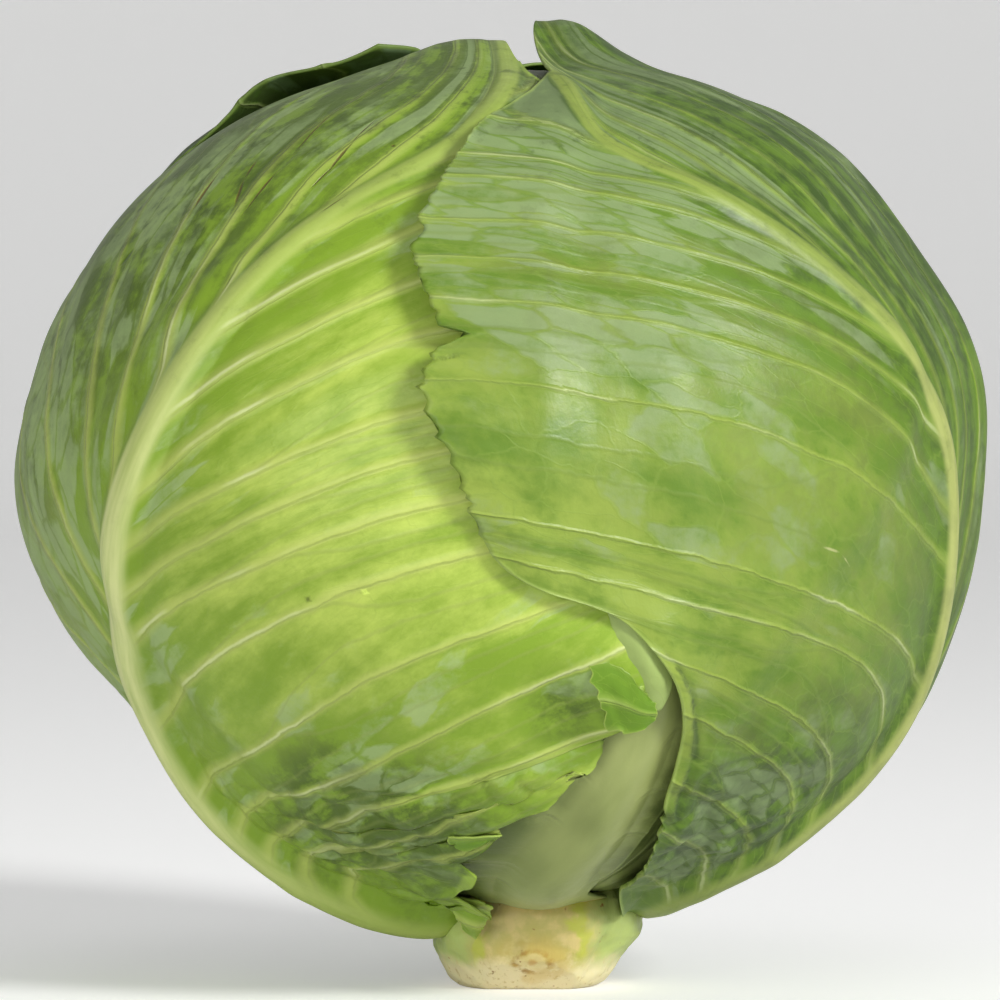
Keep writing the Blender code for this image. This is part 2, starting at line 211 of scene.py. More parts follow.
def bladeDirections(leaf, along, across, fine=True):
    # along from base to tip, across from -1 (left margin) to 1 (right margin)
    along = along * (1 - leaf.get("round", 0.0) * np.abs(across) ** 3)
    if fine:
        for middle, reach, share in leaf.get("tipBites", []):
            along = along * (1 - share * bell((across - middle) / reach))
    rib = leafCurve(leaf, "midrib", along)
    leftReach = np.clip(-across, 0, 1)
    rightReach = np.clip(across, 0, 1)
    if fine:
        leftReach = leftReach * (1 - bitten(leaf, "left", along) / head["halfBlade"])
        rightReach = rightReach * (1 - bitten(leaf, "right", along) / head["halfBlade"])
    left = arc(rib, marginCurve(leaf, "left", along, fine), leftReach)
    right = arc(rib, marginCurve(leaf, "right", along, fine), rightReach)
    return np.where((across < 0)[..., None], left, right)


def chart(centre, way):
    # flat map of the head round a centre: distances from the centre are true lengths
    east = unit(np.cross([0.0, 0.0, 1.0], centre))
    north = np.cross(centre, east)
    angle = np.arccos(np.clip(way @ centre, -1, 1))
    flat = np.stack([way @ east, way @ north], axis=-1)
    size = np.maximum(np.linalg.norm(flat, axis=-1), 1e-9)
    return flat / size[..., None] * (angle * head["meanRadius"])[..., None]


def nearestOnLine(points, line):
    # distance to a broken line, and the place along it from 0 to 1
    best = np.full(len(points), 9.0)
    place = np.zeros(len(points))
    for number, (first, last) in enumerate(zip(line[:-1], line[1:])):
        step = last - first
        share = np.clip((points - first) @ step / (step @ step), 0, 1)
        away = np.hypot(*(points - first - share[:, None] * step).T)
        nearer = away < best
        best = np.where(nearer, away, best)
        place = np.where(nearer, (number + share) / (len(line) - 1), place)
    return best, place


def insideLoop(points, loop):
    # crossings of a ray to the right with a closed loop
    inside = np.zeros(len(points), bool)
    for a, b in zip(loop, np.roll(loop, -1, axis=0)):
        spans = (a[1] > points[:, 1]) != (b[1] > points[:, 1])
        rise = b[1] - a[1] if abs(b[1] - a[1]) > 1e-12 else 1e-12
        inside ^= spans & (points[:, 0] < a[0] + (points[:, 1] - a[1]) / rise * (b[0] - a[0]))
    return inside


def leafFacts(leaf, way, fine=False):
    # signed distance inside the outline, distance to the midrib, place along the midrib
    shape = way.shape[:-1]
    centre = leafCurve(leaf, "midrib", np.array([0.5]))[0]
    along = np.linspace(0, 1, head["outlineSteps"])
    across = np.linspace(-1, 1, head["tipSteps"])
    rib = chart(centre, leafCurve(leaf, "midrib", along))
    tip = bladeDirections(leaf, np.ones_like(across), across, fine)
    left = bladeDirections(leaf, along, np.full_like(along, -1), fine)
    right = bladeDirections(leaf, along, np.full_like(along, 1), fine)
    loop = chart(centre, np.concatenate([left, tip[1:-1], right[::-1]]))
    points = chart(centre, way.reshape(-1, 3))
    edge = nearestOnLine(points, np.concatenate([loop, loop[:1]]))[0]
    edge = np.where(insideLoop(points, loop), edge, -edge)
    fromRib, alongRib = nearestOnLine(points, rib)
    return edge.reshape(shape), fromRib.reshape(shape), alongRib.reshape(shape)


def ribSize(leaf, alongRib):
    # half width and height of the midrib
    width = smooth([0, 0.2, 1], [w for w, h in leaf["rib"]], alongRib) * mm
    height = smooth([0, 0.2, 1], [h for w, h in leaf["rib"]], alongRib) * mm
    return width, height


def ribHeight(leaf, fromRib, alongRib, widen=1.0):
    width, height = ribSize(leaf, alongRib)
    return height * np.clip(1 - (fromRib / width / widen) ** 2, 0, 1) ** 1.5


def bumps(leaf, key, way):
    # smooth bumps round directions: (azimuth, elevation, reach in degrees, amount)
    total = np.zeros(way.shape[:-1])
    for azimuth, elevation, reach, amount in leaf.get(key, []):
        away = np.degrees(np.arccos(np.clip(way @ direction(azimuth, elevation), -1, 1)))
        total += amount * bell(away / reach)
    return total


def drape(way, lower):
    # what lies under a leaf: the inner head and the leaves already laid on it
    total = headRadius(way)
    for leaf in lower:
        edge, fromRib, alongRib = leafFacts(leaf, way)
        cover = ramp(1 + edge / head["spread"])
        thickness = head["leafGap"] + head["blade"] + bumps(leaf, "lifts", way) * mm
        total = total + cover * (thickness + ribHeight(leaf, fromRib, alongRib, head["coverWiden"]))
    return total


def marginRows(leaf, key, along, side, ease):
    # rows of (side, from, to, values): gives the side, the share there from 0 to 1, and the values
    for where, start, end, *values in leaf.get(key, []):
        yield where, stretch(along, start, end, ease) * (side == sideNumber[where]), values


def stripShare(leaf, along, inward, side):
    # margins folded back in a narrow strip: (side, from, to, height in mm, width in mm);
    # gives the height in mm, the share inside the strip and the share on its fold line
    height, inside, line = np.zeros((3, *along.shape))
    for _, there, (raised, width) in marginRows(leaf, "strips", along, side, marginStyle["narrowEase"]):
        away = inward / mm - width
        groove = marginStyle["stripHollow"] * bell(away / marginStyle["grooveWidth"] - 0.5)
        height += there * raised * (bell(away / width + 0.5) - groove)
        inside += there * ramp(0.5 - away)
        # the fold line's share is painted as shadow along the fold
        line += there * bell(away / marginStyle["foldLineWidth"])
    return height, inside, line


def marginLift(leaf, along, inward, side):
    # margins that stand off or roll: (side, from, to, height in mm, reach in mm)
    total = np.zeros_like(along)
    for where, there, (height, reach) in marginRows(leaf, "margins", along, side, marginStyle["ease"]):
        total += there * height * mm * np.exp(-inward / (reach * mm))
        if where == "right" and "waves" in leaf:
            size, count, sharp = leaf["waves"]
            wave = 0.5 + 0.5 * np.sin(along * count * 2 * np.pi)
            total += there * size * wave * height * mm * np.exp(-sharp * inward / (reach * mm))
    total += stripShare(leaf, along, inward, side)[0] * mm
    for _, there, (depth, reach) in marginRows(leaf, "rolls", along, side, marginStyle["narrowEase"]):
        near = np.clip(1 - inward / (reach * mm), 0, 1)
        total -= there * depth * mm * (1 - np.sqrt(1 - near ** 2))
    return total


def veinPhase(leaf, along, across):
    # number of the lateral vein, counted from the base and rising by 1 from vein to vein;
    # a vein leaves the midrib close along it and bends out to its margin
    total = np.zeros_like(along)
    bend = leaf.get("veinBend", 0.3)
    out = (1 - np.exp(-np.abs(across) / bend)) / (1 - np.exp(-1 / bend))
    for side, sign in (("leftVeins", -1), ("rightVeins", 1)):
        veins = leaf[side]
        lines = [start + (end - start) * out for start, end in [(-0.12, -0.1), *veins, (1.1, 1.5)]]
        steps = [np.clip((along - a) / np.maximum(b - a, 1e-4), 0, 1) for a, b in zip(lines, lines[1:])]
        own = sum(steps) + (20 if sign > 0 else 0)
        total = np.where(across * sign >= 0, own, total)
    return total


def evenVeins(count, rise, seed):
    # starts and ends of lateral veins, nearly evenly spaced
    shift = np.random.default_rng(seed).uniform(-0.25, 0.25, count) / count
    starts = 0.04 + np.arange(count) * 0.9 / count + shift
    return [(start, start + rise * (0.6 + 0.5 * start)) for start in starts]


def surfaceGap(phase, places):
    # distance between neighbouring veins on the surface, from how fast the vein number changes
    alongStep = np.gradient(places, axis=0)
    acrossStep = np.gradient(places, axis=1)
    a = np.sum(alongStep ** 2, axis=-1)
    b = np.sum(alongStep * acrossStep, axis=-1)
    c = np.sum(acrossStep ** 2, axis=-1)
    p, q = np.gradient(phase, axis=0), np.gradient(phase, axis=1)
    steep = (c * p * p - 2 * b * p * q + a * q * q) / np.maximum(a * c - b * b, 1e-16)
    return 1 / np.sqrt(np.maximum(steep, 1.0))


reliefStyle = {
    # lengths on the blade and heights, in mm
    "veinReach": 22,            # how far from the midrib a lateral vein stays high
    "veinWidth": 1.15,
    "fullGap": 18,              # veins this far apart let the panel between them swell fully
    "swellSpread": 22,
    "puckerSize": (9, 8),
    "puckerDrift": 12,
    "puckerEnd": (0.34, 0.2),   # share of the leaf's length where puckers end, and over how much
    "broad": (0.45, 26),        # height and size
    "small": (0.12, 6),
    "ribGrain": (0.12, 5, 24),
    "edgeEase": 5,
    "looseSize": (7, 5),
}


def relief(leaf, u, v, phase, gap, fromRib, alongRib, edge):
    # veins as ridges, panels that swell between them, puckers near the base and broad unevenness
    style = reliefStyle
    across, upwards = u / mm, v / mm
    share = (phase + 0.5) % 1 - 0.5
    beside = ramp(fromRib / ribSize(leaf, alongRib)[0] - 0.5)
    strong = leaf.get("veinHeight", 0.5) * mm * (0.5 + 0.7 * np.exp(-np.abs(across) / style["veinReach"]))
    ridge = strong * bell(np.abs(share) * gap / (style["veinWidth"] * mm))
    swell = leaf.get("swell", 0.6) * mm * (1 - np.cos(2 * np.pi * share)) / 2
    swell = swell * np.clip(gap / (style["fullGap"] * mm), 0, 1.2)
    swell = swell * (0.7 + 0.5 * softNoise(across / style["swellSpread"], phase * 1.7, 4))
    wide, high = style["puckerSize"]
    drift = 0.4 * softNoise(across / style["puckerDrift"], upwards / style["puckerDrift"], 7)
    between = cells(across / wide + drift, upwards / high, 11)
    end, ease = style["puckerEnd"]
    pucker = leaf.get("pucker", 0.7) * mm * ramp(between / 0.5) * ramp((end - alongRib) / ease)
    uneven = 0.0
    for (height, size), seed in ((style["broad"], 21), (style["small"], 22)):
        uneven = uneven + height * mm * softNoise(across / size, upwards / size, seed)
    total = ridge + (swell + pucker + uneven) * ramp(edge / (style["edgeEase"] * mm))
    height, wide, high = style["ribGrain"]
    return total * beside + height * mm * softNoise(across / wide, upwards / high, 23) * (1 - beside)


def meshObject(name, points, faces, facts, nodes, material):
    mesh = bpy.data.meshes.new(name)
    mesh.from_pydata(points.tolist(), [], faces.tolist())
    for key, values in facts.items():
        field = mesh.attributes.new(key, "FLOAT_VECTOR", "POINT")
        field.data.foreach_set("vector", np.ascontiguousarray(values, np.float32).ravel())
    mesh.update()
    mesh.shade_smooth()
    mesh.materials.append(material)
    thing = bpy.data.objects.new(name, mesh)
    bpy.context.scene.collection.objects.link(thing)
    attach(thing, "root")
    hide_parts(*nodes)
    print("built", name, len(faces), "faces")


def quads(grid):
    # four-sided cells of a grid of point numbers, facing out
    a, b = grid[:-1, :-1].ravel(), grid[:-1, 1:].ravel()
    c, d = grid[1:, 1:].ravel(), grid[1:, :-1].ravel()
    return np.stack([a, b, c, d], axis=-1)


def triangles(cornersOfQuads):
    a, b, c, d = cornersOfQuads.T
    return np.concatenate([np.stack([a, b, c], axis=-1), np.stack([a, c, d], axis=-1)])


def border(grid):
    return np.concatenate([grid[0, :-1], grid[:-1, -1], grid[-1, :0:-1], grid[:0:-1, 0]])


def buildSheet(name, way, outer, inner, facts, nodes, material):
    # a closed sheet from radii on a grid of directions; its inner skin has every second point
    outside = (head["centre"] + way * outer[..., None]).reshape(-1, 3)
    inside = (head["centre"] + way[::2, ::2] * inner[::2, ::2, None]).reshape(-1, 3)
    grid = np.arange(outer.size).reshape(outer.shape)
    coarse = np.arange(len(inside)).reshape(grid[::2, ::2].shape) + outer.size
    rim, innerRim = border(grid), border(coarse)
    a, middle, b = rim[::2], rim[1::2], np.roll(rim, -2)[::2]
    c, d = innerRim, np.roll(innerRim, -1)
    rimFaces = [(middle, a, c), (middle, c, d), (middle, d, b)]
    rimFaces = [np.stack(corners, axis=-1) for corners in rimFaces]
    faces = np.concatenate([triangles(quads(grid)), triangles(quads(coarse))[:, ::-1], *rimFaces])
    facts = {key: np.concatenate([f.reshape(-1, 3), f[::2, ::2].reshape(-1, 3)]) for key, f in facts.items()}
    meshObject(name, np.concatenate([outside, inside]), faces, facts, nodes, material)


def roundBody(rows, ends):
    # points and faces of rings round an axis, with a fan from the first ring, and from the last
    # where there is a second end
    rings, sides = rows.shape[:2]
    grid = np.arange(rings * sides).reshape(rings, sides)
    grid = np.concatenate([grid, grid[:, :1]], axis=1)
    fans = [(grid[0, 1:], grid[0, :-1]), (grid[-1, :-1], grid[-1, 1:])][:len(ends)]
    fans = [np.stack([a, b, np.full(sides, rings * sides + i)], axis=-1) for i, (a, b) in enumerate(fans)]
    return np.concatenate([rows.reshape(-1, 3), ends]), np.concatenate([triangles(quads(grid)), *fans])


def patternFacts(u, v, edge, phase, gap, ribShare, paint=0.0, wear=0.0):
    # what the leaf materials read: lengths on the blade, the veins' number and spacing, painted shares
    whole = np.zeros((*u.shape, 3))
    return {
        "leafPlace": np.stack(np.broadcast_arrays(u, v, edge), axis=-1),
        "veinPlace": np.stack(np.broadcast_arrays(phase, gap, ribShare), axis=-1),
        "leafPaint": whole + paint,
        "leafWear": whole + wear,
    }


def arcLength(a, b):
    # distance over the head between two directions
    return np.arccos(np.clip(np.sum(a * b, axis=-1), -1, 1)) * head["meanRadius"]


leafGrid = {
    "crowding": 1.1,            # above 1, columns stand closer near the midrib
    "widestGap": 60.0 * mm,
    "fadedRelief": 0.75,
    # how a strip changes the tone and the bloom, and how its fold line adds to the dark zones as painted
    # shadow along the fold
    "stripPaint": (1.1, -0.5, 0.9),
}


def buildLeaf(name, lower):
    leaf = leaves[name]
    rows, columns = leaf["fine"]
    steps = np.linspace(-1, 1, columns + 1)
    steps = np.sign(steps) * np.abs(steps) ** leafGrid["crowding"]
    along, across = np.meshgrid(np.linspace(0, 1, rows + 1), steps, indexing="ij")
    side = np.where(across < 0, -1, 1)
    way = bladeDirections(leaf, along, across)
    edge, fromRib, alongRib = leafFacts(leaf, way)
    edge = np.maximum(edge, 0)
    ribWay = bladeDirections(leaf, along, across * 0)
    fromMargin = arcLength(way, bladeDirections(leaf, along, side * 1.0))
    u = arcLength(way, ribWay) * np.sign(across)
    steps = np.linalg.norm(np.diff(ribWay, axis=0), axis=-1) * head["meanRadius"]
    v = np.concatenate([np.zeros((1, columns + 1)), np.cumsum(steps, axis=0)])
    inner = drape(way, lower) + head["leafGap"] + bumps(leaf, "lifts", way) * mm
    inner += bumps(leaf, "sinks", way) * mm
    inner += marginLift(leaf, along, fromMargin, side)
    thick = head["edgeBlade"] + (head["blade"] - head["edgeBlade"]) * ramp(edge / head["edgeReach"])
    phase = veinPhase(leaf, along, across)
    gap = np.minimum(surfaceGap(phase, head["centre"] + way * inner[..., None]), leafGrid["widestGap"])
    rib = ribHeight(leaf, fromRib, alongRib) * ramp((alongRib + 0.01) / leaf.get("taper", 0.01))
    fades = bumps(leaf, "fades", way)
    outer = inner + thick + rib
    outer += relief(leaf, u, v, phase, gap, fromRib, alongRib, edge) * (
        1 - leafGrid["fadedRelief"] * np.clip(fades, 0, 1))
    wide, high = reliefStyle["looseSize"]
    outer += bumps(leaf, "puckers", way) * mm * softNoise(u / mm / wide, v / mm / high, 61)
    paint = np.stack([bumps(leaf, key, way) for key in ("tonesAndLight", "blooms", "darksAndShade")], axis=-1)
    strip, foldLine = stripShare(leaf, along, fromMargin, side)[1:]
    paint += np.stack([strip, strip, foldLine], axis=-1) * leafGrid["stripPaint"]
    wear = np.stack([fades, bumps(leaf, "worn", way), along * 0], axis=-1)
    ribShare = fromRib / ribSize(leaf, alongRib)[0]
    facts = patternFacts(u, v, edge, phase, gap, ribShare, paint, wear)
    material = materials[leaf["material"]]
    buildSheet(name + "_surface", way, outer, inner, facts, [name], material)


foldTabRows = [
    [(10.2, -18.4, -0.5), (12.6, -17.8, -0.5), (15.0, -18.6, -0.3), (17.0, -20.8, 0.4), (18.6, -22.6, 0.3)],
    [(11.2, -20.6, 0.6), (13.2, -20.4, 0.4), (15.2, -21.0, 0.8), (17.4, -22.4, 1.2), (19.2, -23.4, 0.8)],
    [(12.2, -22.8, 1.2), (13.8, -22.9, 0.8), (15.6, -23.2, 1.2), (17.8, -24.0, 1.5), (19.8, -24.4, 1.0)],
    [(13.2, -25.0, 1.5), (14.6, -25.0, 1.2), (16.1, -25.1, 1.5), (18.0, -25.4, 1.6), (19.9, -25.2, 1.1)],
    [(14.1, -27.6, 1.3), (15.3, -27.1, 1.6), (16.6, -27.4, 1.4), (18.2, -26.9, 1.5), (19.4, -26.1, 1.0)],
]

folds = {
    # rows of points: azimuth, elevation, and mm above the leaves there, or mm from the head's middle
    "fold_underside": {
        "above": True, "material": "foldPale", "veins": 0.8, "ragged": 0.001,
        "rows": [[(12.6, -12.6, -0.4), (14.2, -12.2, -0.2), (16.0, -12.9, -0.3)],
                 [(13.4, -14.8, -0.5), (15.6, -14.7, 0.5), (17.9, -14.9, 0.1)],
                 [(14.6, -17.3, -0.5), (16.9, -17.1, 0.8), (19.4, -17.0, 0.2)],
                 [(16.0, -19.9, -0.4), (18.2, -19.6, 0.9), (20.8, -19.3, 0.3)],
                 [(17.2, -22.3, -0.2), (19.2, -22.3, 0.8), (21.2, -22.0, 0.3)],
                 [(18.2, -24.4, 0.2), (19.5, -24.6, 0.5), (20.6, -24.4, 0.2)]],
    },
    "fold_tab": {"above": True, "material": "foldGreen", "veins": 2.0, "ragged": 0.006, "rows": foldTabRows},
    "torn_underfold": {
        "above": True, "material": "foldGreen", "veins": 2.0, "ragged": 0.006,
        "rows": [[(-9.6, -46.8, 0.6), (-4.6, -46.0, 1.3), (0.8, -46.0, 0.6)],
                 [(-9.0, -50.0, 0.6), (-5.6, -48.6, 1.2), (-2.0, -47.4, 0.6)],
                 [(-8.6, -52.8, 0.3), (-7.2, -51.6, 0.6), (-5.6, -50.4, 0.3)]],
    },
    "torn_tip": {
        "above": False, "material": "leftLeaf", "veins": 2.0, "ragged": 0.006,
        "rows": [[(-19.0, -67.4, 79.6), (-13.3, -67.0, 80.0), (-7.9, -67.2, 80.4), (-2.6, -68.9, 80.9)],
                 [(-18.2, -70.0, 81.0), (-13.3, -69.8, 81.6), (-8.4, -70.3, 82.0), (-4.4, -71.2, 82.0)],
                 [(-17.6, -72.8, 82.5), (-13.7, -72.6, 83.3), (-10.4, -72.8, 83.5), (-7.7, -73.6, 83.0)],
                 [(-15.4, -75.6, 84.0), (-14.4, -75.7, 84.3), (-12.9, -75.9, 84.6), (-11.9, -75.9, 84.2)]],
    },
}

foldStyle = {
    "steps": 48,
    "raggedReach": 1.2,             # mm
    "raggedSize": 1.1,              # mm
    "raggedLean": (1.0, 0.0, 0.6),  # the way in which a ragged edge is moved
    "uneven": (0.3, 3, 2.5),        # height, size and reach from the edge, in mm
    "thickness": (0.35, 0.35, 2),   # at the edge, what is added inside, and the reach, in mm
    "veinSlant": 0.15,
}


def buildFold(name, lower):
    # a small folded or torn piece of the left leaf, smooth through its rows of points
    fold = folds[name]
    knots = np.array(fold["rows"])
    steps = np.linspace(0, 1, foldStyle["steps"] + 1)
    values = np.concatenate([direction(knots[..., 0], knots[..., 1]), knots[..., 2:]], axis=-1)
    flat = np.array([smooth(np.linspace(0, 1, len(row)), row, steps) for row in values])
    surface = smooth(np.linspace(0, 1, len(values)), flat.reshape(len(values), -1), steps)
    surface = surface.reshape(len(steps), len(steps), 4)[::-1]
    way = unit(surface[..., :3])
    places = way * head["meanRadius"]
    u = np.cumsum(np.linalg.norm(np.diff(places, axis=1, prepend=places[:, :1]), axis=-1), axis=1)
    v = np.cumsum(np.linalg.norm(np.diff(places, axis=0, prepend=places[:1]), axis=-1), axis=0)
    across, down = np.meshgrid(steps, steps)
    inward = np.minimum(np.minimum(across, 1 - across) * u.max(), np.minimum(down, 1 - down) * v.max())
    size = foldStyle["raggedSize"]
    jagged = fold["ragged"] * bell(inward / (foldStyle["raggedReach"] * mm))
    jagged = jagged * softNoise(u / mm / size, v / mm / size, 52)
    way = unit(way + jagged[..., None] * np.array(foldStyle["raggedLean"]))
    base = drape(way, lower) if fold["above"] else 0.0
    height, size, reach = foldStyle["uneven"]
    outer = base + surface[..., 3] * mm
    outer = outer + height * mm * ramp(inward / (reach * mm)) * softNoise(u / mm / size, v / mm / size, 51)
    thin, added, reach = foldStyle["thickness"]
    inner = outer - (thin + added * ramp(inward / (reach * mm))) * mm
    number = down * fold["veins"] + foldStyle["veinSlant"] * across
    facts = patternFacts(u, v, inward, number, v.max() / fold["veins"], 3.0)
    buildSheet(name, way, outer, inner, facts, ["leaf_left"], materials[fold["material"]])


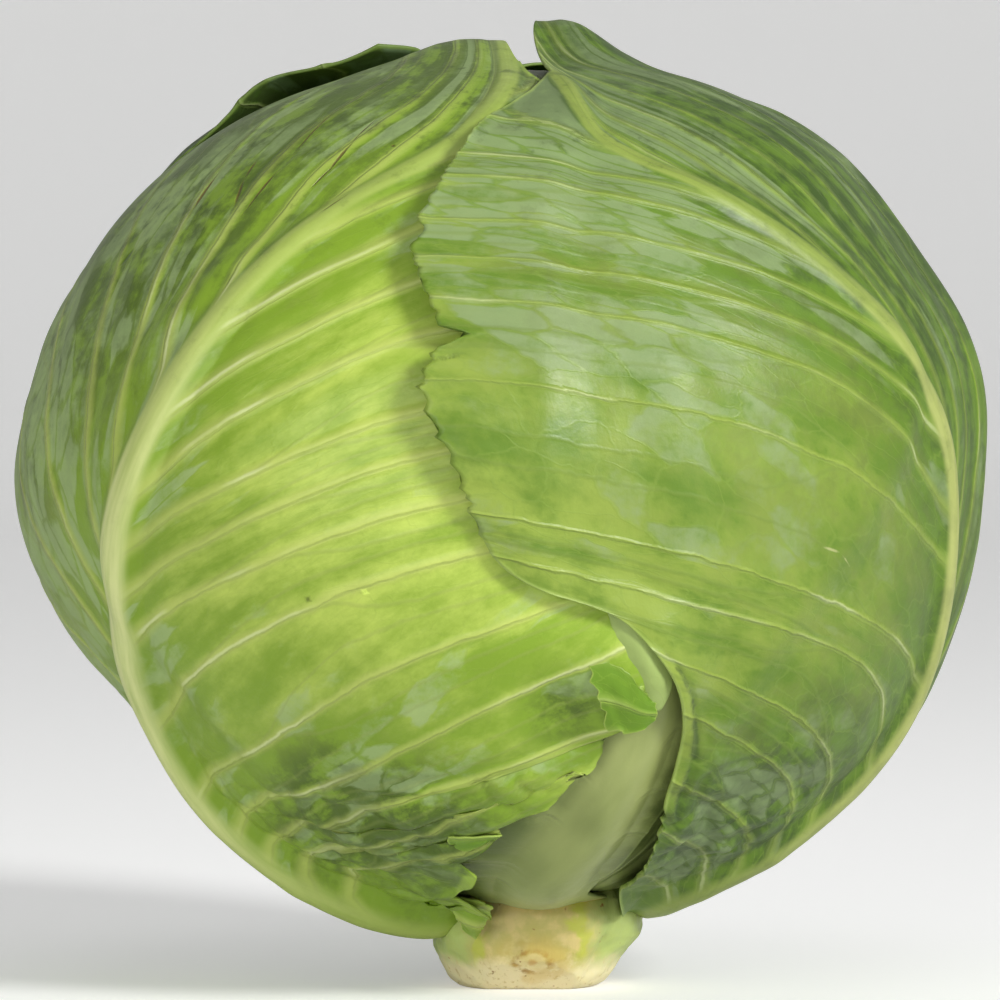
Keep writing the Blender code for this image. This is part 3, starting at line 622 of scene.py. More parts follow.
leaves = {
    "leaf_front_inner": {
        "base": (-20, 12, 40),
        "left": [(0.15, -16, -62), (0.3, -30, -48), (0.5, -45, -25), (0.75, -50, 5), (1, -28, 36)],
        "midrib": [(0.1, 13, -62), (0.25, 16, -48), (0.4, 19.5, -33), (0.55, 21.5, -18),
                   (0.75, 22, 2), (1, 14, 36)],
        "right": [(0.08, 28, -65), (0.16, 29.3, -57), (0.24, 28.9, -49), (0.32, 29.4, -42),
                  (0.4, 30, -35), (0.46, 30, -29), (0.55, 34, -17), (0.75, 54, 8), (1, 48, 36)],
        "rib": ((13.0, 5.0), (9.5, 3.4), (4.0, 0.3)),
        "taper": 0.14,
        "round": 0.08,
        "fine": (160, 140),
        "leftVeins": evenVeins(9, 0.2, 31),
        "rightVeins": evenVeins(9, 0.2, 32),
        "veinHeight": 0.2,
        "swell": 0.2,
        "pucker": 0.0,
        # (24, -31) and (24, -45) are a painted highlight on the right of the midrib, (16, -44) and (15.5,
        # -38) painted shade in its crease, and (2, -54) darkens the bottom
        "tonesAndLight": [(24, -31, 9, 2.0), (2, -54, 8, -0.6), (16, -44, 4, -1.0), (15.5, -38, 4, -0.8),
                  (24, -45, 7, 0.9)],
        "slot": "pale_leaf",
        "material": "paleLeaf",
    },
    "leaf_back_right": {
        "base": (118, 146, 174),
        "left": [(0.2, 96, -50), (0.45, 84, -12), (0.75, 88, 30), (1, 112, 62)],
        "midrib": [(0.2, 148, -50), (0.45, 146, -12), (0.75, 148, 32), (1, 158, 70)],
        "right": [(0.2, 196, -50), (0.45, 212, -12), (0.75, 210, 32), (1, 205, 64)],
        "rib": ((12.0, 6.0), (7.5, 1.8), (5.0, 0.2)),
        "round": 0.08,
        "fine": (220, 180),
        "leftVeins": evenVeins(10, 0.3, 33),
        "rightVeins": evenVeins(10, 0.3, 34),
        "slot": "back_leaf",
        "material": "backLeaf",
    },
    "leaf_left": {
        "base": (-100, -62, -26),
        "left": [(0.1, -112, -63), (0.2, -128, -46), (0.3, -134, -30), (0.45, -136, -6),
                 (0.6, -136, 18), (0.75, -133, 42), (0.9, -126, 66), (1, -104, 81)],
        "midrib": [(0.1, -61, -60), (0.2, -69, -46), (0.3, -65.5, -31), (0.4, -54, -16),
                   (0.5, -47.8, -3), (0.6, -41, 11), (0.7, -34, 23), (0.78, -24, 35),
                   (0.86, -7, 47.5), (0.93, 2, 62), (1, 6, 84)],
        "right": [(0.05, -12, -64), (0.09, -7, -55), (0.14, 2, -47), (0.19, 10.5, -38),
                  (0.22, 15, -31), (0.25, 19.5, -26), (0.28, 21.8, -20.5), (0.31, 19, -15.8),
                  (0.34, 12.5, -12.4), (0.38, 5, -10.9), (0.42, 2.5, -7), (0.5, 4, 4),
                  (0.6, 4, 17), (0.72, 4, 31), (0.84, 8, 45), (0.93, 14, 58), (1, 9, 69)],
        "rib": ((12.0, 7.0), (8.5, 4.8), (3.5, 0.3)),
        "lifts": [(14, -20, 6.5, 2.6), (-30, 84, 12, 4.2)],
        "rolls": [("right", 0.25, 0.42, 1.9, 6.0)],
        "fades": [(-70, 48, 24, 0.7), (-30, 72, 22, 0.9), (-150, 60, 40, 0.6)],
        "worn": [(-60, 50, 30, 0.9), (-30, 72, 24, 1.0), (-90, 20, 30, 0.5), (-12, -48, 14, 0.8)],
        "puckers": [(-14, -50, 14, 1.3), (-40, -52, 12, 0.8)],
        "torn": {"right": [
            (0.035, -13.4, -66), (0.05, -3.1, -68.1), (0.065, -8.4, -64.5), (0.08, -13.4, -62.3),
            (0.1, -8.5, -59.1), (0.112, -4.6, -55.5), (0.118, -8.4, -52.6), (0.14, -4.3, -49.7),
            (0.158, 0.5, -46.3), (0.165, -0.8, -44.3), (0.175, 3.6, -43.3), (0.184, 7.8, -41.3),
            (0.2, 9.5, -38.8), (0.213, 11.3, -36.0), (0.218, 10.6, -34.5), (0.226, 13.3, -34.9),
            (0.238, 14.4, -31.9), (0.25, 14.3, -29.2), (0.262, 17.2, -27.6), (0.28, 19.6, -24.8),
            (0.288, 22.3, -20.5), (0.312, 20.4, -15.4), (0.342, 14.5, -11.7), (0.38, 7.6, -9.9),
            (0.42, 3.6, -6.8),
        ]},
        "teeth": [("right", 0.03, 0.26, 120, 0.5)],
        "veinHeight": 0.38,
        "swell": 0.75,
        "margins": [("right", 0.02, 0.2, 1.3, 6.0)],
        "tipBites": [(0.35, 0.25, 0.02)],
        "sinks": [(8.5, -26, 4.5, -1.2), (8, -12.2, 4, -0.6)],
        "fine": (320, 230),
        "leftVeins": [(0.03, 0.14), (0.09, 0.26), (0.16, 0.38), (0.24, 0.5), (0.31, 0.6), (0.37, 0.68),
                      (0.43, 0.78), (0.5, 0.87), (0.58, 0.95), (0.67, 1.03), (0.76, 1.1), (0.86, 1.2)],
        "rightVeins": [(0.0, 0.16), (0.05, 0.225), (0.1, 0.275), (0.15, 0.32), (0.21, 0.365), (0.29, 0.44),
                       (0.38, 0.485), (0.425, 0.525), (0.47, 0.56), (0.51, 0.63), (0.57, 0.69),
                       (0.65, 0.76), (0.73, 0.83), (0.81, 0.9), (0.9, 0.97)],
        # (12, -24) is painted shade round the folded tab; the rest lighten the middle and darken the top, the
        # upper left and the bottom
        "tonesAndLight": [(-24, 2, 30, 0.55), (-64, 28, 28, -1.0), (-20, -50, 20, -1.0), (-20, 60, 25, -0.6),
                  (12, -24, 8, -1.4), (-14, 62, 8, 0.7), (0, -22, 9, -0.5), (-24, -40, 12, -0.6)],
        "blooms": [(-80, 0, 30, 0.9), (-70, 38, 18, 0.3), (-40, 60, 28, 0.4), (-15, -44, 16, 0.5),
                   (-10, 5, 25, -0.4)],
        # (8.6, -25) is painted shadow in the hollow beside the folded tab; (-8, 15) and (-5, 32) are painted
        # shadow cast by the right leaf's margin
        # the top, upper left and far left spots are in part darker leaf colour and in part painted shade; the
        # lower ones are darker leaf colour
        "darksAndShade": [(-14, -50, 13, 1.2), (-26, -42, 11, 1.1), (-62, 40, 26, 1.0), (-100, 50, 40, 0.6),
                  (-40, -72, 14, 0.4), (-44, -52, 8, 0.7), (-80, -2, 24, 0.6), (8.6, -25, 5, 1.0),
                  (4, 76, 16, 1.0), (-24, 64, 18, 0.7), (-8, 15, 6, 0.3), (-5, 32, 7, 0.3)],
        "slot": "left_leaf",
        "material": "leftLeaf",
    },
    "leaf_right": {
        "base": (47, 76, 108),
        "left": [(0.05, 38, -64), (0.1, 32, -55), (0.15, 28.4, -47), (0.2, 26.3, -39.5),
                 (0.25, 25.6, -33), (0.29, 24.4, -27), (0.32, 21.1, -20.6), (0.345, 17.8, -16.6),
                 (0.37, 14.2, -13.4), (0.4, 9.8, -11.5), (0.43, 4.8, -9.9), (0.46, 0.3, -7.2),
                 (0.49, -3, -2.5), (0.53, -5.5, 4), (0.58, -9.3, 12.5), (0.62, -7.3, 17.5),
                 (0.67, -9.5, 24), (0.72, -11.5, 29), (0.79, -8.5, 37), (0.86, -6.5, 42),
                 (0.93, -2, 49.5), (1, 7, 58)],
        "midrib": [(0.1, 67, -61), (0.2, 73, -48), (0.3, 77, -34), (0.4, 76, -21),
                   (0.5, 71, -8), (0.6, 66, 5), (0.7, 56, 17), (0.78, 45, 28),
                   (0.86, 31, 38), (0.93, 17, 48), (1, 15, 65)],
        "right": [(0.1, 98, -63), (0.2, 118, -46), (0.3, 128, -29), (0.45, 135, -4),
                  (0.6, 139, 22), (0.75, 146, 46), (0.9, 160, 66), (1, 176, 80)],
        "rib": ((12.0, 5.0), (8.0, 3.6), (3.0, 0.3)),
        "lifts": [(80, 83, 8.5, 7.6), (60, -52, 9, 0.8)],
        "margins": [("left", 0.47, 0.97, 3.0, 9.0), ("left", 0.05, 0.22, 1.4, 8.0)],
        "teeth": [("left", 0.47, 0.98, 62, 1.3), ("left", 0.47, 0.98, 143, 0.6),
                  ("left", 0.05, 0.2, 70, 4.0)],
        "bites": [("left", 0.622, 0.008, 3.0), ("left", 0.73, 0.012, 1.6)],
        "veinHeight": 0.24,
        "swell": 0.5,
        "fine": (320, 230),
        "leftVeins": [(0.02, 0.1), (0.06, 0.17), (0.09, 0.23), (0.12, 0.3), (0.18, 0.345), (0.25, 0.47),
                      (0.36, 0.5), (0.49, 0.585), (0.535, 0.655), (0.6, 0.7), (0.69, 0.745),
                      (0.76, 0.8), (0.83, 0.86), (0.9, 0.93)],
        "rightVeins": [(0.03, 0.3), (0.09, 0.45), (0.16, 0.58), (0.24, 0.72), (0.32, 0.84), (0.4, 0.95),
                       (0.48, 1.04), (0.56, 1.12), (0.64, 1.2), (0.73, 1.3), (0.83, 1.4)],
        # (78, 42) darkens the upper right: painted shade on the side turned from the light, in part darker
        # leaf colour
        "tonesAndLight": [(20, -8, 28, 0.3), (52, 2, 18, 0.35), (35, -48, 18, -0.7), (78, 42, 30, -1.4)],
        "blooms": [(4, 44, 22, 1.2), (60, 60, 30, 0.6), (45, -50, 18, 0.7), (20, 12, 20, 0.3)],
        # (72, 42), (100, 30), (70, 80) and (85, -30) darken the top and the far right: in part darker leaf
        # colour, in part painted shade where the head turns from the light
        "darksAndShade": [(42, -46, 17, 1.2), (72, 42, 28, 0.8), (100, 30, 45, 0.7), (70, 80, 16, 0.9),
                  (85, -30, 30, 0.6), (12, 56, 14, 0.6), (4, 24, 14, 0.35), (30, 5, 30, 0.35)],
        "tipBites": [(0.95, 0.28, 0.075)],
        "sinks": [(88, 42, 13, -1.1)],
        "fades": [(85, 48, 38, 0.6)],
        "worn": [(70, 48, 30, 0.9), (8, 50, 18, 0.6), (42, -48, 16, 0.8), (100, 0, 30, 0.5)],
        "puckers": [(42, -48, 15, 1.1)],
        "strips": [("left", 0.17, 0.36, 0.8, 3.4)],
        "slot": "right_leaf",
        "material": "rightLeaf",
    },
    "leaf_back_left": {
        "base": (-172, -142, -108),
        "left": [(0.1, -178, -65), (0.2, -196, -49), (0.4, -217, -20), (0.6, -224, 8),
                 (0.8, -222, 38), (1, -214, 66)],
        "midrib": [(0.2, -154, -50), (0.4, -160, -22), (0.6, -158, 8), (0.8, -152, 38),
                   (1, -146, 76)],
        "right": [(0.1, -114, -65), (0.2, -116, -50), (0.4, -110, -25), (0.55, -107, 0),
                  (0.7, -103, 24), (0.82, -99, 45), (0.92, -96, 62), (1, -90, 79)],
        "rib": ((12.0, 6.5), (8.0, 4.0), (3.0, 0.3)),
        "margins": [("right", 0.85, 1.3, 2.3, 12.0), ("left", 0.3, 0.9, 1.5, 8.0)],
        "waves": (0.7, 10.0, 1.5),
        "round": 0.02,
        "teeth": [("right", 0.1, 0.98, 80, 0.9), ("left", 0.1, 0.98, 80, 0.9)],
        "fine": (280, 220),
        "leftVeins": evenVeins(11, 0.3, 35),
        "rightVeins": evenVeins(11, 0.3, 36),
        # the margin at the upper left is painted in shade
        "darksAndShade": [(-90, 64, 20, 2.2)],
        "slot": "back_leaf",
        "material": "backLeaf",
    },
}


def feed(tree, socket, value):
    # links a socket, or sets a number or a colour
    if isinstance(value, bpy.types.NodeSocket):
        tree.links.new(value, socket)
    elif socket.type == "RGBA":
        socket.default_value = (*value, 1.0)
    else:
        socket.default_value = value


def node(tree, kind, settings=None, **inputs):
    # adds a shader node; inputs are sockets to link or plain values, by input name or number
    made = tree.nodes.new(kind)
    for key, value in (settings or {}).items():
        setattr(made, key, value)
    for key, value in inputs.items():
        numbered = key[0] == "i" and key[1:].isdigit()
        feed(tree, made.inputs[int(key[1:]) if numbered else key.replace("_", " ")], value)
    return made


def maths(tree, operation, a, b=0.0, c=0.0):
    return node(tree, "ShaderNodeMath", {"operation": operation}, i0=a, i1=b, i2=c).outputs[0]


def times(tree, a, b):
    return maths(tree, "MULTIPLY", a, b)


def timesPlus(tree, a, b, c):
    return maths(tree, "MULTIPLY_ADD", a, b, c)


def less(tree, a, b):
    return maths(tree, "SUBTRACT", a, b)


def positive(tree, a):
    return maths(tree, "ABSOLUTE", a)


def soften(tree, value, start, end, low=0.0, high=1.0):
    # smooth step of a value from start to end
    made = node(tree, "ShaderNodeMapRange", {"interpolation_type": "SMOOTHSTEP"}, Value=value,
                i1=start, i2=end, i3=low, i4=high)
    return made.outputs[0]


def blendColour(tree, share, a, b):
    # colour a where the share is 0 and b where it is 1
    return node(tree, "ShaderNodeMix", {"data_type": "RGBA"}, i0=share, i6=a, i7=b).outputs[2]


def noise(tree, vector, scale, detail=3.0, roughness=0.55):
    made = node(tree, "ShaderNodeTexNoise", None, Vector=vector, Scale=scale, Detail=detail,
                Roughness=roughness)
    return made.outputs[0]


def attributeParts(tree, name):
    vector = node(tree, "ShaderNodeAttribute", {"attribute_name": name}).outputs["Vector"]
    parts = node(tree, "ShaderNodeSeparateXYZ", None, Vector=vector).outputs
    return parts[0], parts[1], parts[2]


def startGroup(name, inputs, outputs):
    tree = bpy.data.node_groups.new(name, "ShaderNodeTree")
    for label, value in inputs.items():
        socket = tree.interface.new_socket(label, in_out="INPUT", socket_type="NodeSocketFloat")
        socket.default_value = value
    for label in outputs:
        tree.interface.new_socket(label, in_out="OUTPUT", socket_type="NodeSocketFloat")
    return tree, tree.nodes.new("NodeGroupInput").outputs, tree.nodes.new("NodeGroupOutput").inputs


veinStyle = {
    # lengths in mm from the midrib or across a vein
    "wobbleScale": 0.12,
    "thinning": -0.04,              # how fast veins thin out from the midrib, for each mm
    "midribWidth": 0.9,             # what veins are wider beside the midrib
    # width of the pale crest line: a painted highlight along each vein's ridge, in part whitish scuffs
    "crestWidth": 0.4,
    # forks of a vein: where they start, how far that varies, and the share of the panel they cross
    "forks": ((10.0, 25.0, 0.42), (24.0, 20.0, -0.36)),
    "forkRun": 24.0,
    "forkWidth": 0.45,
    "forkStrength": 0.8,
    "cellsPerPanel": 3.0,
    "warp": (1.1, 0.9),             # scale and strength
    "streak": (0.04, 1.1),          # for each mm across the leaf, and for each vein
    "patchScale": 1.6,
    "netStrength": 0.4,
    "heights": (0.3, 0.05, -0.12),  # of a vein, of net and forks, and of the furrow beside a vein
}


def veinGroup():
    # vein, fork and net masks with their height in mm, from the vein number and the leaf's own lengths
    labels = ("Vein", "Line", "CrestScuffAndHighlight", "Net", "Cell", "Inside", "Panel", "Patch", "Height")
    given = {"Width": 0.5, "Line": 0.35, "Net Size": 9.0, "Wobble": 0.13}
    tree, given, result = startGroup("leafVeins", given, labels)
    u, v = attributeParts(tree, "leafPlace")[:2]
    phase, gap = attributeParts(tree, "veinPlace")[:2]
    sideways, upwards, gapSize = (times(tree, length, 1 / mm) for length in (u, v, gap))    # in mm
    fromMid = positive(tree, sideways)
    flat = node(tree, "ShaderNodeCombineXYZ", None, X=sideways, Y=upwards).outputs[0]
    shake = less(tree, noise(tree, flat, veinStyle["wobbleScale"], 4.0, 0.6), 0.5)
    number = timesPlus(tree, shake, given["Wobble"], phase)
    whole = maths(tree, "ROUND", number)
    share = less(tree, number, whole)
    away = times(tree, share, gapSize)
    thin = maths(tree, "EXPONENT", times(tree, fromMid, veinStyle["thinning"]))
    width = timesPlus(tree, thin, veinStyle["midribWidth"], given["Width"])
    vein = soften(tree, maths(tree, "DIVIDE", positive(tree, away), width), 1.5, 0.0)
    # a thin dark line on the low side of each vein, in the furrow there: partly the vein's own dark edge,
    # partly painted shadow below the raised vein
    lowSide = timesPlus(tree, width, 0.45, away)
    core = soften(tree, maths(tree, "DIVIDE", positive(tree, lowSide), given["Line"]), 1.3, 0.2)
    # the crest band only sets the pale crest colour: painted highlight along the vein ridges, in part whitish
    # scuffs
    crest = soften(tree, maths(tree, "DIVIDE", positive(tree, away), veinStyle["crestWidth"]), 1.3, 0.2)
    lower = maths(tree, "FLOOR", number)
    chance = node(tree, "ShaderNodeTexWhiteNoise", {"noise_dimensions": "1D"}, W=lower).outputs["Value"]
    inPanel = less(tree, number, lower)
    forks = []
    for start, reach, last in veinStyle["forks"]:
        begin = timesPlus(tree, chance, reach, start)
        run = soften(tree, less(tree, fromMid, begin), 0.0, veinStyle["forkRun"], 0.0, abs(last))
        own = run if last > 0 else less(tree, 1.0, run)
        gone = positive(tree, less(tree, inPanel, own))
        size = maths(tree, "DIVIDE", times(tree, gone, gapSize), veinStyle["forkWidth"])
        there = soften(tree, less(tree, fromMid, begin), 0.0, 6.0)
        forks.append(times(tree, soften(tree, size, 1.3, 0.1), there))
    fork = maths(tree, "MAXIMUM", forks[0], forks[1])
    line = maths(tree, "MAXIMUM", core, times(tree, fork, veinStyle["forkStrength"]))
    alongVein = maths(tree, "DIVIDE", sideways, given["Net Size"])
    acrossVein = times(tree, number, veinStyle["cellsPerPanel"])
    bent = node(tree, "ShaderNodeCombineXYZ", None, X=alongVein, Y=acrossVein).outputs[0]
    scale, strength = veinStyle["warp"]
    warp = node(tree, "ShaderNodeTexNoise", None, Vector=bent, Scale=scale, Detail=3.0).outputs["Color"]
    warp = node(tree, "ShaderNodeVectorMath", {"operation": "SCALE"}, i0=warp, Scale=strength).outputs[0]
    bentMore = node(tree, "ShaderNodeVectorMath", {"operation": "ADD"}, i0=bent, i1=warp).outputs[0]
    found = []
    for feature, wanted in (("DISTANCE_TO_EDGE", "Distance"), ("F1", "Color")):
        settings = {"voronoi_dimensions": "2D", "feature": feature}
        made = node(tree, "ShaderNodeTexVoronoi", settings, Vector=bentMore, Scale=1.0)
        found.append(made.outputs[wanted])
    walls = found[0]
    cellValue = maths(tree, "ADD", found[1], 0.0)      # one random value for each cell
    net = soften(tree, walls, 0.05, 0.0)
    inCell = soften(tree, walls, 0.02, 0.12)
    panel = times(tree, positive(tree, share), 2.0)
    across, along = veinStyle["streak"]
    streak = node(tree, "ShaderNodeCombineXYZ", None, X=times(tree, sideways, across),
                  Y=times(tree, number, along)).outputs[0]
    patch = noise(tree, streak, veinStyle["patchScale"], 6.0, 0.62)
    fine = maths(tree, "MAXIMUM", times(tree, net, veinStyle["netStrength"]), fork)
    veinHeight, fineHeight, furrow = veinStyle["heights"]
    height = timesPlus(tree, vein, veinHeight, times(tree, fine, fineHeight))
    height = timesPlus(tree, core, furrow, height)
    for label, value in zip(labels, (vein, line, crest, net, cellValue, inCell, panel, patch, height)):
        tree.links.new(value, result[label])
    return tree


waxStyle = {
    "cloudScale": 60.0,
    "grainScale": 500.0,
    # how much the clouds, the streaks, the net's cells and the grain decide where the bloom lies
    "cloud": 0.5,
    "patch": 0.45,
    "cell": 0.55,
    "grain": 0.2,
    "level": (1.14, 0.36),      # the sum above which there is bloom, and how far its amount lowers it
    "border": (-0.09, 0.11),
    "veinClear": 0.7,
}


def waxGroup():
    # grey bloom that fills cells of the net here and there, with soft and rubbed borders, from 0 to 1
    given = {"Amount": 0.5, "Patch": 0.5, "Cell": 0.5, "Inside": 1.0, "Vein": 0.0}
    tree, given, result = startGroup("waxBloom", given, ("Bloom",))
    place = node(tree, "ShaderNodeTexCoord").outputs["Object"]
    cloud = noise(tree, place, waxStyle["cloudScale"], 3.0, 0.6)
    grain = noise(tree, place, waxStyle["grainScale"], 3.0, 0.65)
    mixed = timesPlus(tree, cloud, waxStyle["cloud"], times(tree, given["Patch"], waxStyle["patch"]))
    mixed = timesPlus(tree, given["Cell"], waxStyle["cell"], mixed)
    mixed = timesPlus(tree, grain, waxStyle["grain"], mixed)
    start, reach = waxStyle["level"]
    level = less(tree, start, times(tree, given["Amount"], reach))
    mask = soften(tree, less(tree, mixed, level), *waxStyle["border"])
    inside = timesPlus(tree, given["Inside"], 0.75, 0.25)
    clear = less(tree, 1.0, times(tree, given["Vein"], waxStyle["veinClear"]))
    tree.links.new(times(tree, times(tree, mask, inside), clear), result["Bloom"])
    return tree


def strokes(tree, place, lines, shake):
    # mask of thin marks: each is a slim ellipsoid from one direction to another, with ragged sides
    total = None
    for az1, el1, az2, el2, width in lines:
        start, end = (Vector(head["centre"] + direction(az, el) * head["meanRadius"])
                      for az, el in ((az1, el1), (az2, el2)))
        middle = (start + end) / 2
        outward = (middle - Vector(head["centre"])).normalized()
        forward = (end - start).normalized()
        outward = (outward - forward * outward.dot(forward)).normalized()
        turned = Matrix((forward, outward.cross(forward), outward)).transposed().to_euler()
        size = ((end - start).length / 2, width * mm / 2, 14 * mm)
        moved = node(tree, "ShaderNodeMapping", {"vector_type": "TEXTURE"}, Vector=place,
                     Location=middle, Rotation=turned, Scale=size).outputs[0]
        away = node(tree, "ShaderNodeVectorMath", {"operation": "LENGTH"}, i0=moved).outputs["Value"]
        total = away if total is None else maths(tree, "MINIMUM", total, away)
    return soften(tree, maths(tree, "ADD", total, shake), 1.25, 0.35)


def startMaterial(name, roughness=0.4):
    material = bpy.data.materials.new(name)
    material.use_nodes = True
    tree = material.node_tree
    shader = tree.nodes["Principled BSDF"]
    shader.inputs["Roughness"].default_value = roughness
    shader.inputs["IOR"].default_value = 1.42
    return material, tree, shader


def placeGroup(tree, group, **inputs):
    made = tree.nodes.new("ShaderNodeGroup")
    made.node_tree = group
    for key, value in inputs.items():
        feed(tree, made.inputs[key.replace("_", " ")], value)
    return made.outputs


def linkBump(tree, shader, height, strength, distance):
    bump = node(tree, "ShaderNodeBump", None, Height=height, Strength=strength, Distance=distance)
    tree.links.new(bump.outputs[0], shader.inputs["Normal"])


leafPattern = {
    # scales of the noises on the head, and how much each counts in the blade's brightness
    "cloudScale": 42.0,
    "mottleScale": 200.0,
    "grainScale": 900.0,
    "crestHighlightScale": 28.0,
    "fibreScale": 35.0,
    "cloudShare": 0.5,
    "mottleShare": 0.9,
    "wornMottle": 1.8,
    "patchShare": 2.8,
    "toneShare": 0.5,
    "wornShade": -0.25,
    "panelShade": -0.25,
    "ribShade": (-60.0, -0.6),  # how fast it falls off from the midrib, for each metre, and its strength
    # the dark zones are in part darker leaf colour and in part painted shade
    "darkUnder": 0.75,          # the dark zones go on in part below the bloom and in part over it
    "darkOver": 0.25,
    "fadedVeins": 0.8,
    "rim": 0.7,
    "blotches": 0.55,
    "raggedMarks": 2.4,
    "bloomRough": 0.12,
    "grainRough": 0.16,
    # heights in mm
    "mottleHeight": 0.12,
    "grainHeight": 0.05,
    "fibreHeight": 0.05,
    "cutHeight": -0.3,
    "bump": 0.8,
}

# thin marks on a leaf: how strongly each kind shows, and its colour; the dark of a tear is painted shadow
# inside its notch
markKinds = {
    "scars": (0.8, (0.45, 0.46, 0.2)),
    "cracks": (0.85, (0.12, 0.07, 0.015)),
    "tearShadows": (0.75, (0.05, 0.09, 0.015)),
}


def leafMaterial(name, look, veins, wax):
    material, tree, shader = startMaterial(name)
    share = leafPattern
    u, v, edge = attributeParts(tree, "leafPlace")
    ribShare = attributeParts(tree, "veinPlace")[2]
    toneAndLight, bloomPaint, dark = attributeParts(tree, "leafPaint")
    fade, worn = attributeParts(tree, "leafWear")[:2]
    shown = less(tree, 1.0, times(tree, soften(tree, fade, 0.0, 1.0), share["fadedVeins"]))
    pattern = placeGroup(tree, veins, Width=look["veinWidth"], Line=look["lineWidth"],
                         Net_Size=look["netSize"])
    place = node(tree, "ShaderNodeTexCoord").outputs["Object"]
    cloud = noise(tree, place, share["cloudScale"], 5.0, 0.6)
    mottle = noise(tree, place, share["mottleScale"], 4.0, 0.68)
    grain = noise(tree, place, share["grainScale"], 3.0, 0.6)
    centredMottle = less(tree, mottle, 0.5)

    # brightness of the blade, between its deep and its bright colour
    varied = times(tree, less(tree, cloud, 0.5), share["cloudShare"])
    mottled = timesPlus(tree, worn, share["wornMottle"], share["mottleShare"])
    varied = timesPlus(tree, centredMottle, mottled, varied)
    varied = timesPlus(tree, less(tree, pattern["Patch"], 0.5), share["patchShare"], varied)
    # the painted tone holds lighter and darker leaf colour and, on some leaves, painted highlight and painted
    # shade
    bright = timesPlus(tree, toneAndLight, share["toneShare"], look["shade"])
    bright = timesPlus(tree, varied, look["mottling"], bright)
    bright = timesPlus(tree, worn, share["wornShade"], bright)
    fall, strength = share["ribShade"]
    nearRib = maths(tree, "EXPONENT", times(tree, positive(tree, u), fall))
    bright = timesPlus(tree, nearRib, strength, bright)
    bright = timesPlus(tree, pattern["Panel"], share["panelShade"], bright)
    blade = blendColour(tree, soften(tree, bright, -0.1, 1.1), look["deep"], look["bright"])

    # dark zones, in part darker leaf colour and in part painted shade, then the bloom, and the net and veins
    # over it
    streaked = timesPlus(tree, mottle, 0.6, times(tree, pattern["Patch"], 0.8))
    streaked = soften(tree, streaked, 0.56, 0.84, 0.25, 1.25)
    darkAndShadeShare = soften(tree, times(tree, streaked, dark), 0.0, 1.2)
    blade = blendColour(tree, times(tree, darkAndShadeShare, share["darkUnder"]), blade, look["dark"])
    amount = maths(tree, "ADD", bloomPaint, look["bloomAmount"])
    bloom = placeGroup(tree, wax, Amount=amount, Patch=pattern["Patch"], Cell=pattern["Cell"],
                       Inside=pattern["Inside"], Vein=pattern["Vein"])["Bloom"]
    # noise that breaks the painted crest highlight into spots along the veins
    crestHighlightSpots = soften(tree, noise(tree, place, share["crestHighlightScale"], 2.0), 0.52, 0.66)
    layers = (
        ("bloom", bloom),
        ("net", pattern["Net"]),
        ("vein", times(tree, pattern["Vein"], shown)),
        ("crest", times(tree, times(tree, pattern["CrestScuffAndHighlight"], crestHighlightSpots), shown)),
        # the line layer: partly the veins' own dark edge, partly painted shadow beside each vein
        ("line", pattern["Line"]),
    )
    for key, mask in layers:
        blade = blendColour(tree, times(tree, mask, look[key + "Strength"]), blade, look[key])

    # the midrib with its fibres: palest at its peak along the leaf, and dark where the painted tone is low,
    # which includes painted shade
    lengthwise = node(tree, "ShaderNodeCombineXYZ", None, X=times(tree, u, look["fibres"]),
                      Y=times(tree, v, share["fibreScale"])).outputs[0]
    fibres = noise(tree, lengthwise, 1.0, 3.0)
    ribColour = blendColour(tree, soften(tree, fibres, 0.3, 0.75), look["rib"], look["ribStreak"])
    awayFromPeak = soften(tree, positive(tree, less(tree, v, look["ribPeak"])), 0.015, 0.09)
    for key, strength in (("vein", look["ribFall"]), ("deep", look["ribFall"] * 0.7)):
        ribColour = blendColour(tree, times(tree, awayFromPeak, strength), ribColour, look[key])
    ribColour = blendColour(tree, soften(tree, toneAndLight, 0.0, -1.2, 0.0, 0.9), ribColour, look["deep"])
    inner, outer = look["ribReach"]
    blade = blendColour(tree, soften(tree, ribShare, outer, inner), blade, ribColour)
    if "foot" in look:
        start, end = look["footReach"]
        nearFoot = soften(tree, timesPlus(tree, cloud, 3.0 * mm, v), start * mm, end * mm)
        nearFoot = times(tree, nearFoot, soften(tree, ribShare, 0.95, 0.7))
        blade = blendColour(tree, nearFoot, blade, look["foot"])

    # rim, the last share of the dark zones with their painted shade, worn blotches and marks
    rim = soften(tree, edge, look["rimReach"] * mm, 0.0)
    blade = blendColour(tree, times(tree, rim, share["rim"]), blade, look["rim"])
    blade = blendColour(tree, times(tree, darkAndShadeShare, share["darkOver"]), blade, look["dark"])
    blotch = times(tree, soften(tree, mottle, 0.56, 0.7), times(tree, worn, share["blotches"]))
    blade = blendColour(tree, blotch, blade, look["dark"])
    ragged = times(tree, centredMottle, share["raggedMarks"])
    cuts = 0.0
    for kind, (strength, colour) in markKinds.items():
        if kind in look:
            marks = strokes(tree, place, look[kind], ragged)
            blade = blendColour(tree, times(tree, marks, strength), blade, colour)
            if kind != "scars":
                cuts = maths(tree, "MAXIMUM", cuts, marks)
    tree.links.new(blade, shader.inputs["Base Color"])

